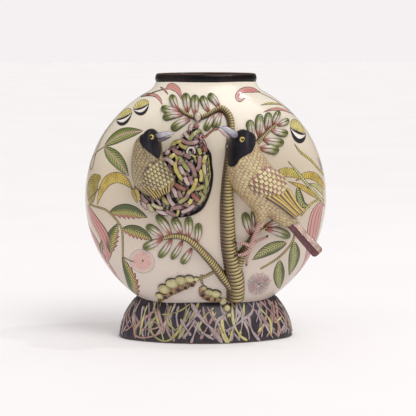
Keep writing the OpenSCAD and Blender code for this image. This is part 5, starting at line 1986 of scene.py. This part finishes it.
TAIL = tinted("tail paint", line=0.6, ink=shade(74, 44, 44), hatch=0.3, spacing=3.4, slant=0.4, cloud=0.9)
skin = make_vessel()
make_tree()
make_nest()
make_left_bird()
make_right_bird()
make_pods()
front = Ground(to_chart, wrap)
front_high = Ground(as_seen, draped(skin, 1))
back = Ground(to_chart, lambda u, v, lift: turned(wrap(u, v, lift)))
back_high = Ground(as_seen, draped(skin, -1))
garden(front, front_high, "front")
garden(back, back_high, "back")
back_tree(back)


# ---- table, light and camera --------------------------------------------------------

BACKDROP = shade(245, 241, 242)
ROOM_TINT = (1.0, 0.985, 0.975)
ROOM_LIGHT = 0.66
GLOSS_DIMMING = 0.36
FLOOR_REACH = 10.0
GLINT_AWAY = 1.6
VIEW_FROM = Vector((-0.1308, -2.4966, 0.455))
VIEW_AIM = Vector((0.0027, 0.0, 0.1714))
LENS = 163.96


def studio():
    """A pale room. Gloss sees it dimmer than the clay does, so that black stays black."""
    world = bpy.data.worlds.new("pale room")
    bpy.context.scene.world = world
    world.use_nodes = True
    room = Recipe(world.node_tree)
    path = room.node("ShaderNodeLightPath").outputs
    air = world.node_tree.nodes["Background"]
    room.feed(air.inputs[0], room.mix(path["Is Camera Ray"], ROOM_TINT, BACKDROP))
    dimmed = room.less(ROOM_LIGHT, room.times(path["Is Glossy Ray"], GLOSS_DIMMING))
    room.feed(air.inputs[1], room.math("MAXIMUM", dimmed, path["Is Camera Ray"]))
    floor_mesh = bpy.data.meshes.new("pale floor")
    corners = [(x * FLOOR_REACH, y * FLOOR_REACH, 0) for x, y in ((-1, -1), (1, -1), (1, 1), (-1, 1))]
    floor_mesh.from_pydata(corners, [], [(0, 1, 2, 3)])
    floor = bpy.data.objects.new("pale_floor", floor_mesh)
    bpy.context.scene.collection.objects.link(floor)
    r = start("pale card")
    paper = r.mix(r.slope(r.noise(3.0, 2.0), 0.3, 0.7), shade(250, 247, 248), shade(252, 249, 250))
    floor_mesh.materials.append(glazed("pale card", paper, None, r, rough=0.95, coat=0.0, gloss=0.0))


def daylight(name, way, strength, spread):
    """Even soft light that comes from the direction way."""
    light = bpy.data.lights.new(name, "SUN")
    light.energy = strength
    light.angle = math.radians(spread)
    made = bpy.data.objects.new(name, light)
    made.rotation_euler = Vector(way).to_track_quat("Z", "Y").to_euler()
    bpy.context.scene.collection.objects.link(made)


def glint(x, z, size, power):
    """A small lamp whose reflection shows in the glaze at x and z."""
    at, out = Vector(spot(x, z, 0)) * MM, Vector(outward(x, z)).normalized()
    to_view = (VIEW_FROM - at).normalized()
    way = 2 * out.dot(to_view) * out - to_view
    light = bpy.data.lights.new("glint lamp", "AREA")
    light.size = size
    light.energy = power
    made = bpy.data.objects.new("glint lamp", light)
    made.location = at + way * GLINT_AWAY
    made.rotation_euler = way.to_track_quat("Z", "Y").to_euler()
    bpy.context.scene.collection.objects.link(made)


def camera():
    """The view is a little from the left and from above, far enough off to look flat."""
    lens = bpy.data.cameras.new("camera")
    lens.sensor_width = 36
    lens.lens = LENS
    made = bpy.data.objects.new("camera", lens)
    made.location = VIEW_FROM
    made.rotation_euler = (VIEW_AIM - VIEW_FROM).to_track_quat("-Z", "Y").to_euler()
    bpy.context.scene.collection.objects.link(made)
    bpy.context.scene.camera = made


studio()
daylight("soft key", (0.34, -0.52, 0.78), 1.15, 36)
daylight("left fill", (-0.8, -0.6, 0.3), 0.22, 60)
glint(48, 322, 0.07, 3.0)
camera()
bpy.context.scene.view_settings.view_transform = "Standard"
